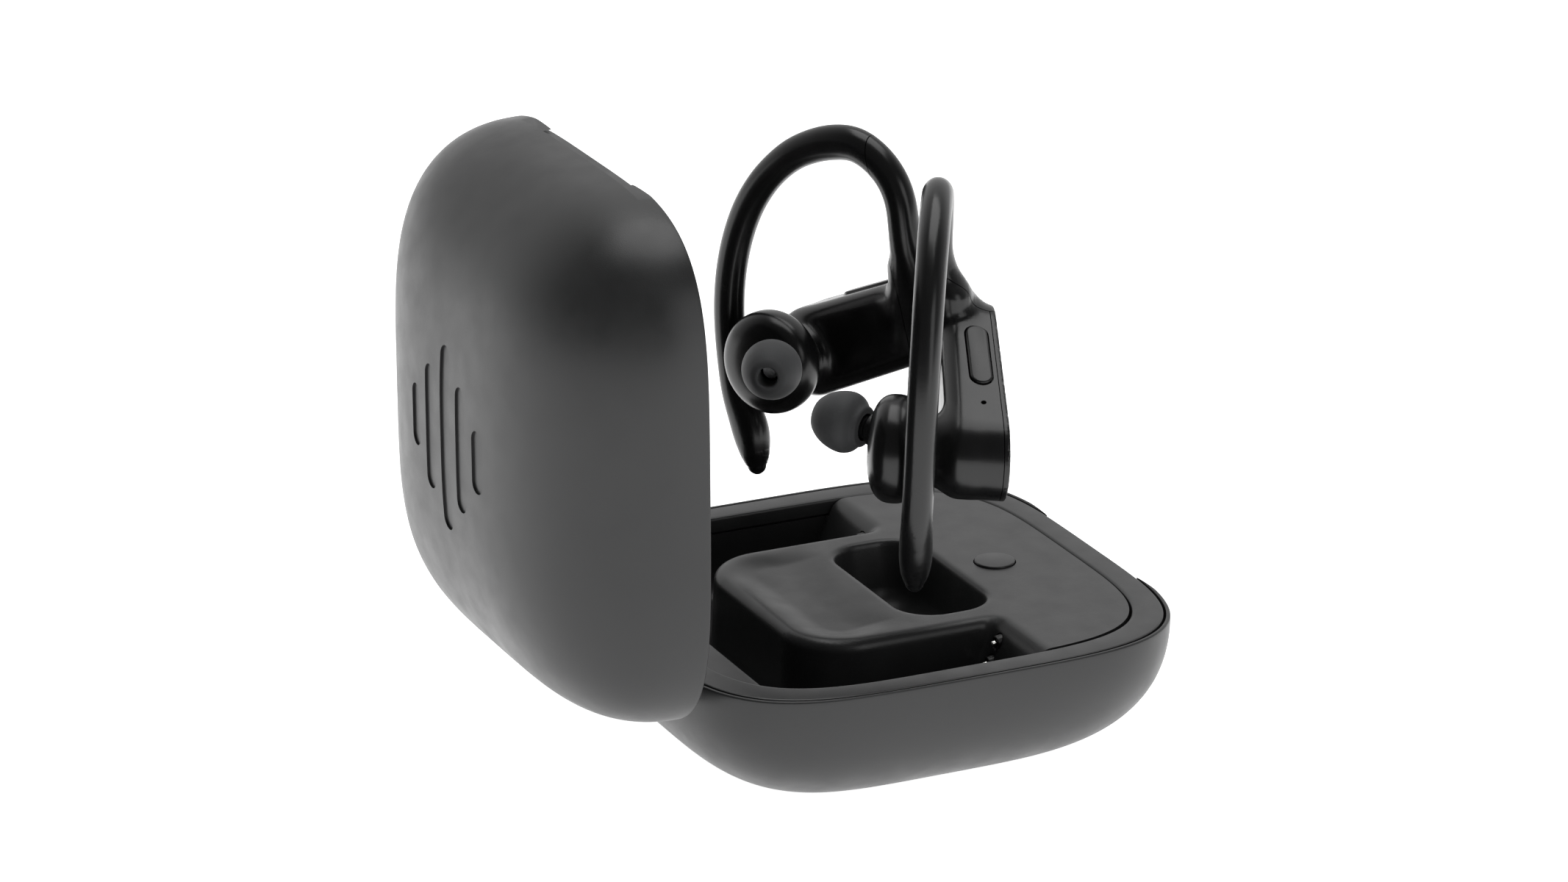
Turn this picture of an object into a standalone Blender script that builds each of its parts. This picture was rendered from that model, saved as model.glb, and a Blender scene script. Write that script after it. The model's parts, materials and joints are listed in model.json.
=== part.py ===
"""Charging case with a hinged lid and two ear-hook earbuds.

The case is shown open. Its lid stands upright behind the base and both earbuds
stand above the tray. Sizes are in millimetres and are scaled to metres when each
mesh is made. The origin is the centre of the flat foot, +Z is up, the thumb scoop
faces -Y and the hinge is at +Y.
"""

import math

import bmesh
import bpy
from mathutils import Euler, Matrix, Vector

MM = 0.001

# Case outline: a squircle that is nearly as long as it is wide
CASE_HALF_X = 38.55
CASE_HALF_Y = 38.5
OUTLINE_POWER = 4.14
SHELL_DEPTH = 23.0          # dome depth of each half, from rim plane to crown
DOME_HEIGHT_POWER = 2.32
DOME_INSET_POWER = 3.05
FOOT_TRIM = 0.4             # slice that flattens the base crown into a foot
WALL = 1.7
LIP = 0.55                  # thin outer lip that surrounds the rim frame
LIP_DEPTH = 2.6
FIT_GAP = 0.3
LID_GAP = 0.45
FRAME_DEPTH = 2.3
FRAME_BAND = 3.95
SCOOP_HALF = 20.6           # thumb scoop at the front edge
SCOOP_DEPTH = 2.2
MARK_BARS = ((-11, 4.6), (-5.5, 9.2), (0, 13.6), (5.5, 9.2), (11, 4.6))
MARK_BAR_HALF = 1.6

# Hinge
HINGE_Y = CASE_HALF_Y - 1.7
HINGE_DROP = 4.0            # axis below the base rim plane
BARREL_R = 1.35
HINGE_PIN_R = 0.45
ARM_HALF = 14.4
EAR_OUTER = 18.4
OPEN_ANGLE = 90.2

# Tray
TRAY_DEPTH = 14.0
TRENCH_DEPTH = 12.0
DECK_EDGE_Y = -12.0         # where the deck stops and the trenches begin
RAMP_LEAN = 0.45
ISLAND_HALF = CASE_HALF_X - 18.95
ISLAND_REAR_Y = 17.6
ISLAND_CORNER = 9.0
SHELF_Y = 27.0
SHELF_DROP = 2.3
POCKET_HALF_X = 15.1
POCKET_HALF_Y = 7.4
POCKET_Y = -7.95
POCKET_DEPTH = 10.0
BUTTON_R = 2.9
BUTTON_Y = -21.8
BUTTON_RISE = 0.35
CONTACT_X = ISLAND_HALF + 2.8
CONTACT_DEPTHS = (2.55, 5.5)

# Earbuds: the hook lies in one upright plane and the body hangs beside it
BUD_X = 22.76
BUD_Y = 1.15
BUD_RISE = 40.07            # middle of the hook above the rim plane
BUD_YAW = 29.08
BUD_LEAN = 2.35
HOOK_THICKNESS = 1.0        # multiplies every hook radius
BODY_REAR = (-1.6, 28.1, 6.6)
BODY_FRONT = (-20.5, 37.0, 6.2)
COVER_T = 0.85
POD = (-0.4, -3.8, 28.4)
POD_R = 7.7
POD_HALF = 3.9
SEAM_POINT = (-20.61, 37.4)
SEAM_UP = (0.233, 0.972)
TIP_BASE = (-3.6, -7.2, 29.9)
TIP_AXIS = (-0.46, -0.885, 0.03)

FOOT_HEIGHT = SHELL_DEPTH - FOOT_TRIM
RIM_Z = FOOT_HEIGHT
SIDE = 48                   # points round a case outline

for old in list(bpy.data.objects):
    bpy.data.objects.remove(old, do_unlink=True)
for old in list(bpy.data.meshes):
    bpy.data.meshes.remove(old)

scene_root = bpy.context.scene.collection
PARTS = bpy.data.collections.new("wireless_earbuds_case")
CUTTERS = bpy.data.collections.new("cutters")
scene_root.children.link(PARTS)
scene_root.children.link(CUTTERS)
CUTTERS.hide_render = True


def material(name, colour, roughness, metallic=0.0):
    mat = bpy.data.materials.new(name)
    mat.use_nodes = True
    shader = mat.node_tree.nodes["Principled BSDF"]
    shader.inputs["Base Color"].default_value = (*colour, 1.0)
    shader.inputs["Roughness"].default_value = roughness
    shader.inputs["Metallic"].default_value = metallic
    return mat


SATIN = material("satin_plastic", (0.045, 0.046, 0.048), 0.45)
DARK = material("dark_plastic", (0.02, 0.02, 0.021), 0.4)
GLOSS = material("gloss_plastic", (0.012, 0.012, 0.013), 0.12)
SOFT = material("silicone", (0.05, 0.051, 0.053), 0.7)
METAL = material("plated_metal", (0.72, 0.72, 0.7), 0.25, 1.0)
STEEL = material("steel", (0.5, 0.5, 0.52), 0.35, 1.0)
BOARD = material("circuit_board", (0.02, 0.11, 0.05), 0.5)
CELL = material("cell_wrap", (0.25, 0.26, 0.28), 0.5)
LIGHT = material("light_pipe", (0.75, 0.75, 0.72), 0.3)


def own(mat, name):
    """Each piece gets a material of its own, so it can be changed alone."""
    copy = mat.copy()
    copy.name = name
    return copy


def finish(obj, mat, cutter, parent=None):
    """Puts a new object in its collection, under its parent, with its own material."""
    if cutter:
        CUTTERS.objects.link(obj)
        obj.hide_render = True
        obj.display_type = "WIRE"
    else:
        PARTS.objects.link(obj)
        obj.data.materials.append(own(mat, obj.name))
    if parent is not None:
        obj.parent = parent
        obj.location = obj.location - Vector(parent["home"]) * MM
    if obj.type == "MESH" and len(obj.data.polygons):
        obj.data.shade_smooth()
        obj.data.set_sharp_from_angle(angle=math.radians(35))
    return obj


def anchor(name, home, rotation):
    """An empty on a joint's axis. Its children are placed as if it had not turned yet."""
    empty = bpy.data.objects.new(name, None)
    PARTS.objects.link(empty)
    empty.location = Vector(home) * MM
    empty.rotation_euler = rotation
    empty["home"] = tuple(home)
    return empty


def outward(mesh):
    """Turns a closed mesh right side out when its volume comes out negative."""
    mesh.calc_loop_triangles()
    volume = 0.0
    for tri in mesh.loop_triangles:
        a, b, c = (mesh.vertices[i].co for i in tri.vertices)
        volume += a.dot(b.cross(c))
    if volume < 0:
        mesh.flip_normals()


def loft(name, rings, mat=None, cutter=False, loop=False, parent=None, origin=(0, 0, 0)):
    """Skins rings of equal count. A one-point ring is a pole; loop joins last to first."""
    verts, starts = [], []
    for ring in rings:
        starts.append(len(verts))
        verts.extend((Vector(p) - Vector(origin)) * MM for p in ring)
    faces = []
    pairs = list(zip(range(len(rings) - 1), range(1, len(rings))))
    if loop:
        pairs.append((len(rings) - 1, 0))
    for i, j in pairs:
        n = max(len(rings[i]), len(rings[j]))
        for k in range(n):
            m = (k + 1) % n
            if len(rings[i]) == 1:
                faces.append((starts[i], starts[j] + k, starts[j] + m))
            elif len(rings[j]) == 1:
                faces.append((starts[i] + k, starts[j], starts[i] + m))
            else:
                faces.append((starts[i] + k, starts[j] + k, starts[j] + m, starts[i] + m))
    if not loop:
        if len(rings[0]) > 1:
            faces.append(tuple(range(starts[0], starts[0] + len(rings[0]))))
        if len(rings[-1]) > 1:
            faces.append(tuple(reversed(range(starts[-1], starts[-1] + len(rings[-1])))))
    mesh = bpy.data.meshes.new(name)
    mesh.from_pydata(verts, [], faces)
    mesh.validate()
    outward(mesh)
    obj = bpy.data.objects.new(name, mesh)
    obj.location = Vector(origin) * MM
    return finish(obj, mat, cutter, parent)


def squircle(inset, z, power=OUTLINE_POWER):
    """The case outline moved inwards by inset, as a ring at height z."""
    a, b = CASE_HALF_X - inset, CASE_HALF_Y - inset
    ring = []
    for k in range(SIDE):
        t = 2 * math.pi * (k + 0.5) / SIDE
        c, s = math.cos(t), math.sin(t)
        x = a * math.copysign(abs(c) ** (2 / power), c)
        y = b * math.copysign(abs(s) ** (2 / power), s)
        ring.append((x, y, z))
    return ring


DOME_REACH = min(CASE_HALF_X - 0.15, CASE_HALF_Y - 0.1)


def dome(inset, depth, steps, end=0.12, start=0.0):
    """(inset, drop) pairs of the pillow profile, from the rim down to near the crown."""
    reach = DOME_REACH - inset
    top = math.acos(end ** (DOME_INSET_POWER / 2))
    low = math.asin((start / depth) ** (DOME_HEIGHT_POWER / 2)) if start > 0 else 0.0
    pairs = []
    for k in range(steps + 1):
        s = low + (top - low) * k / steps
        fall = depth * math.sin(s) ** (2 / DOME_HEIGHT_POWER)
        pairs.append((inset + reach * (1 - math.cos(s) ** (2 / DOME_INSET_POWER)), fall))
    return pairs


def inset_at(inset, depth, drop):
    """How far the pillow profile has moved in at a given drop."""
    reach = DOME_REACH - inset
    share = (1 - (drop / depth) ** DOME_HEIGHT_POWER) ** (1 / DOME_INSET_POWER)
    return inset + reach * (1 - share)


def floor_under(x, y, inset, depth):
    """Height of the cavity floor under a point, where the pillow profile passes it."""
    near, far = inset, DOME_REACH - 0.01
    for _ in range(40):
        i = (near + far) / 2
        inside = (x / (CASE_HALF_X - i)) ** OUTLINE_POWER + (y / (CASE_HALF_Y - i)) ** OUTLINE_POWER < 1
        near, far = (i, far) if inside else (near, i)
    share = 1 - (near - inset) / (DOME_REACH - inset)
    return RIM_Z - depth * (1 - share ** DOME_INSET_POWER) ** (1 / DOME_HEIGHT_POWER)


def rounded_rect(half_x, half_y, radius, centre, z, steps=6):
    ring = []
    for quarter, (sx, sy) in enumerate(((1, 1), (-1, 1), (-1, -1), (1, -1))):
        for k in range(steps + 1):
            t = math.pi / 2 * (quarter + k / steps)
            x = centre[0] + sx * (half_x - radius) + radius * math.cos(t)
            y = centre[1] + sy * (half_y - radius) + radius * math.sin(t)
            ring.append((x, y, z))
    return ring


def box(name, low, high, mat=None, cutter=False, parent=None):
    low, high = Vector(low) * MM, Vector(high) * MM
    bm = bmesh.new()
    bmesh.ops.create_cube(bm, size=1.0, matrix=Matrix.Diagonal((*(high - low), 1.0)))
    mesh = bpy.data.meshes.new(name)
    bm.to_mesh(mesh)
    bm.free()
    obj = bpy.data.objects.new(name, mesh)
    obj.location = (low + high) / 2
    return finish(obj, mat, cutter, parent)


def turned(name, base, axis, profile, mat=None, cutter=False, count=20, parent=None, hollow=False):
    """A profile of (radius, distance along axis) pairs spun about the axis with Screw."""
    points = list(profile)
    if not hollow:
        if points[0][0] > 0:
            points.insert(0, (0, points[0][1]))
        if points[-1][0] > 0:
            points.append((0, points[-1][1]))
    points.reverse()
    mesh = bpy.data.meshes.new(name)
    edges = [(k, k + 1) for k in range(len(points) - 1)]
    if hollow:
        edges.append((len(points) - 1, 0))
    mesh.from_pydata([(r * MM, 0, along * MM) for r, along in points], edges, [])
    obj = bpy.data.objects.new(name, mesh)
    obj.location = Vector(base) * MM
    obj.rotation_euler = Vector(axis).to_track_quat("Z", "Y").to_euler()
    spin = obj.modifiers.new("spin", "SCREW")
    spin.axis = "Z"
    spin.steps = spin.render_steps = count
    spin.use_merge_vertices = True
    spin.merge_threshold = 1e-6
    spin.use_smooth_shade = True
    return finish(obj, mat, cutter, parent)


def flat(name, outline, half, mat=None, cutter=False, parent=None, along_x=False, centre=(0, 0, 0)):
    """A flat outline given thickness: a filled 2D curve, then made a mesh so it can be cut."""
    curve = bpy.data.curves.new(name, "CURVE")
    curve.dimensions = "2D"
    curve.fill_mode = "BOTH"
    curve.extrude = half * MM
    spline = curve.splines.new("POLY")
    spline.points.add(len(outline) - 1)
    for point, (x, y) in zip(spline.points, outline):
        point.co = (x * MM, y * MM, 0, 1)
    spline.use_cyclic_u = True
    drawn = bpy.data.objects.new(name + "_outline", curve)
    scene_root.objects.link(drawn)
    depsgraph = bpy.context.evaluated_depsgraph_get()
    mesh = bpy.data.meshes.new_from_object(drawn.evaluated_get(depsgraph))
    bpy.data.objects.remove(drawn)
    bm = bmesh.new()
    bm.from_mesh(mesh)
    bmesh.ops.remove_doubles(bm, verts=bm.verts, dist=1e-7)
    bm.to_mesh(mesh)
    bm.free()
    outward(mesh)
    mesh.name = name
    mesh.materials.clear()
    obj = bpy.data.objects.new(name, mesh)
    obj.location = Vector(centre) * MM
    if along_x:
        obj.rotation_euler = Euler((math.pi / 2, 0, math.pi / 2))
    return finish(obj, mat, cutter, parent)


def flat_x(name, half, polygon, mat=None, cutter=False, parent=None):
    """A (y, z) polygon given thickness along X."""
    return flat(name, polygon, half, mat, cutter, parent, along_x=True)


def combine(target, tool, operation="DIFFERENCE"):
    mod = target.modifiers.new(operation.lower(), "BOOLEAN")
    mod.operation = operation
    mod.solver = "EXACT"
    mod.object = tool
    return target


def cut(target, *tools):
    for tool in tools:
        combine(target, tool)
    return target


# ---------------------------------------------------------------- case base
foot_end = ((1 - (FOOT_HEIGHT / SHELL_DEPTH) ** DOME_HEIGHT_POWER)) ** (1 / DOME_INSET_POWER)
outer = dome(0.0, SHELL_DEPTH, 11, end=foot_end)
cavity_depth = SHELL_DEPTH - 1.8
floor_drop = FOOT_HEIGHT - 1.8
floor_end = (1 - (floor_drop / cavity_depth) ** DOME_HEIGHT_POWER) ** (1 / DOME_INSET_POWER)
cavity = dome(WALL, cavity_depth, 7, end=floor_end, start=LIP_DEPTH)

rings = [squircle(i, RIM_Z - d) for i, d in reversed(outer[1:])]
rings += [squircle(0.0, RIM_Z - 0.25), squircle(0.25, RIM_Z), squircle(LIP, RIM_Z)]
rings += [squircle(LIP, RIM_Z - LIP_DEPTH)]
rings += [squircle(i, RIM_Z - d) for i, d in cavity]
base_shell = loft("base_shell", rings, SATIN)

lip_cut = box("base_scoop_cutter", (-SCOOP_HALF, -CASE_HALF_Y - 2, RIM_Z - SCOOP_DEPTH),
              (SCOOP_HALF, -CASE_HALF_Y + 0.7, RIM_Z + 2), cutter=True)
slot_low = RIM_Z - HINGE_DROP - BARREL_R - 0.45
arm_slot = box("arm_slot_cutter", (-ARM_HALF - 0.4, HINGE_Y - 2.6, slot_low),
               (ARM_HALF + 0.4, CASE_HALF_Y + 3, RIM_Z + 2), cutter=True)
ear_slot = box("ear_slot_cutter", (-EAR_OUTER - 0.4, HINGE_Y - 5.6, slot_low),
               (EAR_OUTER + 0.4, CASE_HALF_Y + 3, RIM_Z - LIP_DEPTH + 0.05), cutter=True)

PORT_DROP = 11.0
port_face_y = CASE_HALF_Y - inset_at(0.0, SHELL_DEPTH, PORT_DROP)
port_hole = box("port_hole_cutter", (-5.0, port_face_y - 4.0, RIM_Z - PORT_DROP - 2.0),
                (5.0, CASE_HALF_Y + 3, RIM_Z - PORT_DROP + 2.0), cutter=True)
LIGHT_DROP = 7.0
light_face_y = -CASE_HALF_Y + inset_at(0.0, SHELL_DEPTH, LIGHT_DROP)
light_hole = turned("light_hole_cutter", (0, light_face_y - 2, RIM_Z - LIGHT_DROP), (0, 1, 0),
                    [(1.1, 0), (1.1, 5)], cutter=True, count=16)
cut(base_shell, lip_cut, arm_slot, ear_slot, port_hole, light_hole)

rim_frame = loft("rim_frame", [
    squircle(LIP + FIT_GAP, RIM_Z - FRAME_DEPTH), squircle(LIP + FIT_GAP, RIM_Z - 0.12),
    squircle(LIP + FIT_GAP + 0.12, RIM_Z), squircle(LIP + FIT_GAP + FRAME_BAND - 0.2, RIM_Z),
    squircle(LIP + FIT_GAP + FRAME_BAND, RIM_Z - 0.2),
    squircle(LIP + FIT_GAP + FRAME_BAND, RIM_Z - FRAME_DEPTH)], SATIN, loop=True)
frame_slot = box("frame_slot_cutter", (-ARM_HALF - 0.4, HINGE_Y - 3.6, RIM_Z - 4),
                 (ARM_HALF + 0.4, CASE_HALF_Y + 3, RIM_Z + 2), cutter=True)
MAGNET_X = 24.0
band_mid = LIP + FIT_GAP + FRAME_BAND / 2
magnet_y = -(CASE_HALF_Y - band_mid) * (
    1 - (MAGNET_X / (CASE_HALF_X - band_mid)) ** OUTLINE_POWER) ** (1 / OUTLINE_POWER)
cut(rim_frame, frame_slot)
for side, tag in ((-1, "left"), (1, "right")):
    cut(rim_frame, turned("frame_magnet_cutter_" + tag, (side * MAGNET_X, magnet_y, RIM_Z - 3.5),
                          (0, 0, 1), [(1.5, 0), (1.5, 2.7)], cutter=True, count=16))
    turned("base_magnet_" + tag, (side * MAGNET_X, magnet_y, RIM_Z - 2.2), (0, 0, 1),
           [(1.2, 0), (1.2, 1.1)], STEEL, count=16)

# ---------------------------------------------------------------- tray
RIM_INNER = LIP + FIT_GAP + FRAME_BAND
TRAY_TOP = RIM_INNER + FIT_GAP


def tray_edge(drop):
    return inset_at(WALL, cavity_depth, drop) + 0.35


tray = loft("tray", [
    squircle(tray_edge(TRAY_DEPTH), RIM_Z - TRAY_DEPTH), squircle(tray_edge(12.3), RIM_Z - 12.3),
    squircle(tray_edge(10.3), RIM_Z - 10.3), squircle(tray_edge(8.0), RIM_Z - 8.0),
    squircle(3.4, RIM_Z - 6.0), squircle(3.4, RIM_Z - LIP_DEPTH),
    squircle(TRAY_TOP, RIM_Z - LIP_DEPTH), squircle(TRAY_TOP, RIM_Z - 0.25),
    squircle(TRAY_TOP + 0.25, RIM_Z)], SATIN)

trench = loft("trench_cutter", [
    squircle(tray_edge(TRENCH_DEPTH) + 0.9, RIM_Z - TRENCH_DEPTH),
    squircle(RIM_INNER + 0.25, RIM_Z - 8.5), squircle(RIM_INNER, RIM_Z - 6.0),
    squircle(RIM_INNER, RIM_Z + 3.0)], cutter=True)
ramp_foot = DECK_EDGE_Y + RAMP_LEAN * (TRENCH_DEPTH + 1)
trench_span = flat_x("trench_span_cutter", CASE_HALF_X + 5, [
    (DECK_EDGE_Y, RIM_Z + 4), (DECK_EDGE_Y, RIM_Z), (ramp_foot, RIM_Z - TRENCH_DEPTH - 1),
    (SHELF_Y - 1.0, RIM_Z - TRENCH_DEPTH - 1), (SHELF_Y, RIM_Z - SHELF_DROP),
    (CASE_HALF_Y + 5, RIM_Z - SHELF_DROP), (CASE_HALF_Y + 5, RIM_Z + 4)], cutter=True)
island_y = (ISLAND_REAR_Y - 30) / 2
island = loft("island_cutter", [
    rounded_rect(ISLAND_HALF + 1.0, (ISLAND_REAR_Y + 31) / 2, ISLAND_CORNER + 1,
                 (0, island_y + 0.5), RIM_Z - TRENCH_DEPTH - 2),
    rounded_rect(ISLAND_HALF + 0.3, (ISLAND_REAR_Y + 30.3) / 2, ISLAND_CORNER,
                 (0, island_y + 0.15), RIM_Z - 1.0),
    rounded_rect(ISLAND_HALF - 0.5, (ISLAND_REAR_Y + 29.5) / 2, ISLAND_CORNER - 0.5,
                 (0, island_y - 0.25), RIM_Z),
    rounded_rect(ISLAND_HALF - 0.5, (ISLAND_REAR_Y + 29.5) / 2, ISLAND_CORNER - 0.5,
                 (0, island_y - 0.25), RIM_Z + 5)], cutter=True)
combine(trench, trench_span, "INTERSECT")
combine(trench, island, "DIFFERENCE")

pocket = loft("pocket_cutter", [
    rounded_rect(POCKET_HALF_X - 3.2, POCKET_HALF_Y - 3.2, 2.8, (0, POCKET_Y), RIM_Z - POCKET_DEPTH),
    rounded_rect(POCKET_HALF_X - 1.3, POCKET_HALF_Y - 1.3, 4.7, (0, POCKET_Y),
                 RIM_Z - POCKET_DEPTH + 1.2),
    rounded_rect(POCKET_HALF_X - 0.4, POCKET_HALF_Y - 0.4, 5.6, (0, POCKET_Y), RIM_Z - 0.8),
    rounded_rect(POCKET_HALF_X, POCKET_HALF_Y, 6.0, (0, POCKET_Y), RIM_Z),
    rounded_rect(POCKET_HALF_X, POCKET_HALF_Y, 6.0, (0, POCKET_Y), RIM_Z + 2)], cutter=True)
deck_hollow = box("deck_hollow_cutter", (-20, -28, RIM_Z - TRAY_DEPTH - 1),
                  (20, -17.8, RIM_Z - 3.4), cutter=True)
button_hole = turned("button_hole_cutter", (0, BUTTON_Y, RIM_Z - 4), (0, 0, 1),
                     [(BUTTON_R + 0.3, 0), (BUTTON_R + 0.3, 6)], cutter=True, count=28)
tray_slot = box("tray_slot_cutter", (-EAR_OUTER - 0.5, HINGE_Y - 5.4, slot_low - 0.4),
                (EAR_OUTER + 0.5, CASE_HALF_Y + 3, RIM_Z + 2), cutter=True)
port_room = box("port_room_cutter", (-5.2, port_face_y - 8.2, RIM_Z - TRAY_DEPTH - 1),
                (5.2, CASE_HALF_Y + 3, RIM_Z - PORT_DROP + 2.2), cutter=True)
cut(tray, trench, pocket, deck_hollow, button_hole, tray_slot, port_room)

AXIS_OUT = (0.0, 0.985, -0.17)
for side, tag in ((-1, "left"), (1, "right")):
    for number, drop in enumerate(CONTACT_DEPTHS, 1):
        on_ramp = (side * CONTACT_X, DECK_EDGE_Y + RAMP_LEAN * drop, RIM_Z - drop)
        cut(tray, turned(f"contact_hole_cutter_{tag}_{number}", on_ramp, AXIS_OUT,
                         [(1.3, -3.6), (1.3, 3.0)], cutter=True, count=16))
        turned(f"contact_seat_{tag}_{number}", on_ramp, AXIS_OUT,
               [(0.68, -1.4), (1.0, -1.4), (1.0, 0.35), (0.68, 0.35)], DARK, count=16, hollow=True)
        turned(f"contact_pin_{tag}_{number}", on_ramp, AXIS_OUT,
               [(0, -2.4), (0.38, -2.4), (0.38, 0.95), (0.26, 1.15), (0, 1.22)], METAL, count=12)

turned("case_button", (0, BUTTON_Y, RIM_Z), (0, 0, 1),
       [(0, -3.1), (1.2, -3.1), (1.2, -1.3), (BUTTON_R, -1.3), (BUTTON_R, 0.15),
        (BUTTON_R - 0.2, BUTTON_RISE), (0, BUTTON_RISE)], SATIN, count=32)
box("button_board", (-9, -26, RIM_Z - 6.2), (9, -19, RIM_Z - 5.4), BOARD)
turned("button_switch", (0, BUTTON_Y, RIM_Z - 5.1), (0, 0, 1),
       [(1.6, 0), (1.6, 0.8), (1.0, 1.3)], STEEL, count=16)

# Two cells fill the room under the main board and under the deck, and keep the open case on its foot
CELL_HALF = 17.2
CELL_T = 3.2
CELL_GAP = 0.344            # from the cavity floor under the cell's corners
FRONT_CELL_GAP = 2.323
cell_low = floor_under(CELL_HALF, CELL_HALF, WALL, cavity_depth) + CELL_GAP
front_low = floor_under(19.3, 27.5, WALL, cavity_depth) + FRONT_CELL_GAP
board_low = cell_low + CELL_T + 0.4
box("case_battery", (-CELL_HALF, -CELL_HALF, cell_low),
    (CELL_HALF, CELL_HALF, cell_low + CELL_T), CELL)
box("case_battery_front", (-19.3, -27.5, front_low), (19.3, -18.4, RIM_Z - 6.7), CELL)
box("main_board", (-22, -18, board_low), (22, 18, board_low + 0.9), BOARD)
port = box("charge_port", (-4.5, port_face_y - 7.4, RIM_Z - PORT_DROP - 1.6),
           (4.5, port_face_y - 0.5, RIM_Z - PORT_DROP + 1.6), STEEL)
cut(port, box("port_mouth_cutter", (-4.1, port_face_y - 6.6, RIM_Z - PORT_DROP - 1.2),
              (4.1, port_face_y + 2, RIM_Z - PORT_DROP + 1.2), cutter=True))
turned("status_light", (0, light_face_y + 0.1, RIM_Z - LIGHT_DROP), (0, 1, 0),
       [(0, 0), (0.55, 0), (0.75, 0.2), (0.75, 1.9), (0, 1.9)], LIGHT, count=16)

# ---------------------------------------------------------------- hinge
pivot = Vector((0, HINGE_Y, RIM_Z - HINGE_DROP))
bracket = flat_x("hinge_bracket", EAR_OUTER, [
    (HINGE_Y - 5.0, pivot.z - 1.5), (HINGE_Y + BARREL_R - 0.1, pivot.z - 1.5),
    (HINGE_Y + BARREL_R - 0.1, pivot.z + 1.1), (HINGE_Y - 5.0, pivot.z + 1.1)], STEEL)
cut(bracket, box("bracket_gap_cutter", (-ARM_HALF - 0.35, HINGE_Y - 3.0, pivot.z - 3),
                 (ARM_HALF + 0.35, CASE_HALF_Y + 3, pivot.z + 3), cutter=True),
    turned("bracket_bore_cutter", (-EAR_OUTER - 2, HINGE_Y, pivot.z), (1, 0, 0),
           [(HINGE_PIN_R + 0.07, 0), (HINGE_PIN_R + 0.07, 2 * EAR_OUTER + 4)], cutter=True, count=24))
turned("hinge_pin", (-EAR_OUTER + 0.1, HINGE_Y, pivot.z), (1, 0, 0),
       [(0, 0), (HINGE_PIN_R, 0), (HINGE_PIN_R, 2 * EAR_OUTER - 0.2), (0, 2 * EAR_OUTER - 0.2)],
       STEEL, count=24)

# The lid is drawn shut, and its empty on the hinge axis swings it open
LID_Z = RIM_Z + LID_GAP
lid_pivot = anchor("lid_pivot", pivot, (math.radians(-OPEN_ANGLE), 0, 0))

# The arm's tang lies along the inside of the lid's rear wall
TANG_T = 1.0
tang_y = CASE_HALF_Y - WALL - 0.7
arm = flat_x("hinge_arm", ARM_HALF, [
    (HINGE_Y + BARREL_R * math.cos(math.radians(a)), pivot.z + BARREL_R * math.sin(math.radians(a)))
    for a in range(-195, 1, 15)] + [
    (HINGE_Y + BARREL_R, LID_Z + 2.1), (tang_y, LID_Z + 2.1), (tang_y, LID_Z + 4.6),
    (tang_y - TANG_T, LID_Z + 4.6), (tang_y - TANG_T, LID_Z + 0.6), (HINGE_Y - 1.0, LID_Z + 0.2),
    (HINGE_Y - 1.0, pivot.z + 1.0)], SATIN, parent=lid_pivot)
cut(arm, turned("arm_bore_cutter", (-EAR_OUTER - 2, HINGE_Y, pivot.z), (1, 0, 0),
                [(HINGE_PIN_R + 0.07, 0), (HINGE_PIN_R + 0.07, 2 * EAR_OUTER + 4)],
                cutter=True, count=24, parent=lid_pivot))

rings = [squircle(i, LID_Z + d) for i, d in reversed(dome(0.0, SHELL_DEPTH, 12)[1:])]
rings += [squircle(0.0, LID_Z + 0.25), squircle(0.25, LID_Z), squircle(LIP, LID_Z)]
rings += [squircle(LIP, LID_Z + LIP_DEPTH)]
rings += [squircle(i, LID_Z + d) for i, d in dome(WALL, cavity_depth, 7, start=LIP_DEPTH)]
lid_shell = loft("lid_shell", rings, SATIN, parent=lid_pivot)
cut(lid_shell,
    box("lid_scoop_cutter", (-SCOOP_HALF, -CASE_HALF_Y - 2, LID_Z - 2),
        (SCOOP_HALF, -CASE_HALF_Y + 0.7, LID_Z + SCOOP_DEPTH), cutter=True, parent=lid_pivot),
    box("lid_notch_cutter", (-ARM_HALF - 0.4, tang_y - TANG_T - 0.3, LID_Z - 2),
        (ARM_HALF + 0.4, CASE_HALF_Y + 3, LID_Z + 2.5), cutter=True, parent=lid_pivot))

# Plain mark on the crown: five rounded bars, sunk a little into the surface
mark_floor = loft("mark_floor_cutter", [squircle(i + 0.3, LID_Z + d - 0.3)
                  for i, d in dome(0.0, SHELL_DEPTH, 12)], cutter=True, parent=lid_pivot)
for number, (x, half) in enumerate(MARK_BARS, 1):
    outline = [(px, py) for px, py, _ in rounded_rect(MARK_BAR_HALF, half, MARK_BAR_HALF - 0.05,
                                                      (0, 0), 0, 4)]
    bar = flat(f"mark_bar_cutter_{number}", outline, 2.0, cutter=True, parent=lid_pivot,
               centre=(x, 0, LID_Z + SHELL_DEPTH - 1.0))
    combine(bar, mark_floor)
    cut(lid_shell, bar)

LINER_OUT = RIM_INNER - 0.95
liner_outer = dome(LINER_OUT, SHELL_DEPTH - 2.9, 7, start=FRAME_DEPTH)
liner_inner = dome(RIM_INNER, SHELL_DEPTH - 3.9, 7)
rings = [squircle(i, LID_Z + d) for i, d in reversed(liner_outer)]
rings += [squircle(LIP + FIT_GAP, LID_Z + FRAME_DEPTH), squircle(LIP + FIT_GAP, LID_Z + 0.12),
          squircle(LIP + FIT_GAP + 0.12, LID_Z)]
rings += [squircle(i, LID_Z + d) for i, d in liner_inner]
liner = loft("lid_liner", rings, SATIN, parent=lid_pivot)
cut(liner, box("liner_notch_cutter", (-ARM_HALF - 0.4, tang_y - TANG_T - 0.35, LID_Z - 2),
               (ARM_HALF + 0.4, CASE_HALF_Y + 3, LID_Z + 4), cutter=True, parent=lid_pivot))
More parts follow.
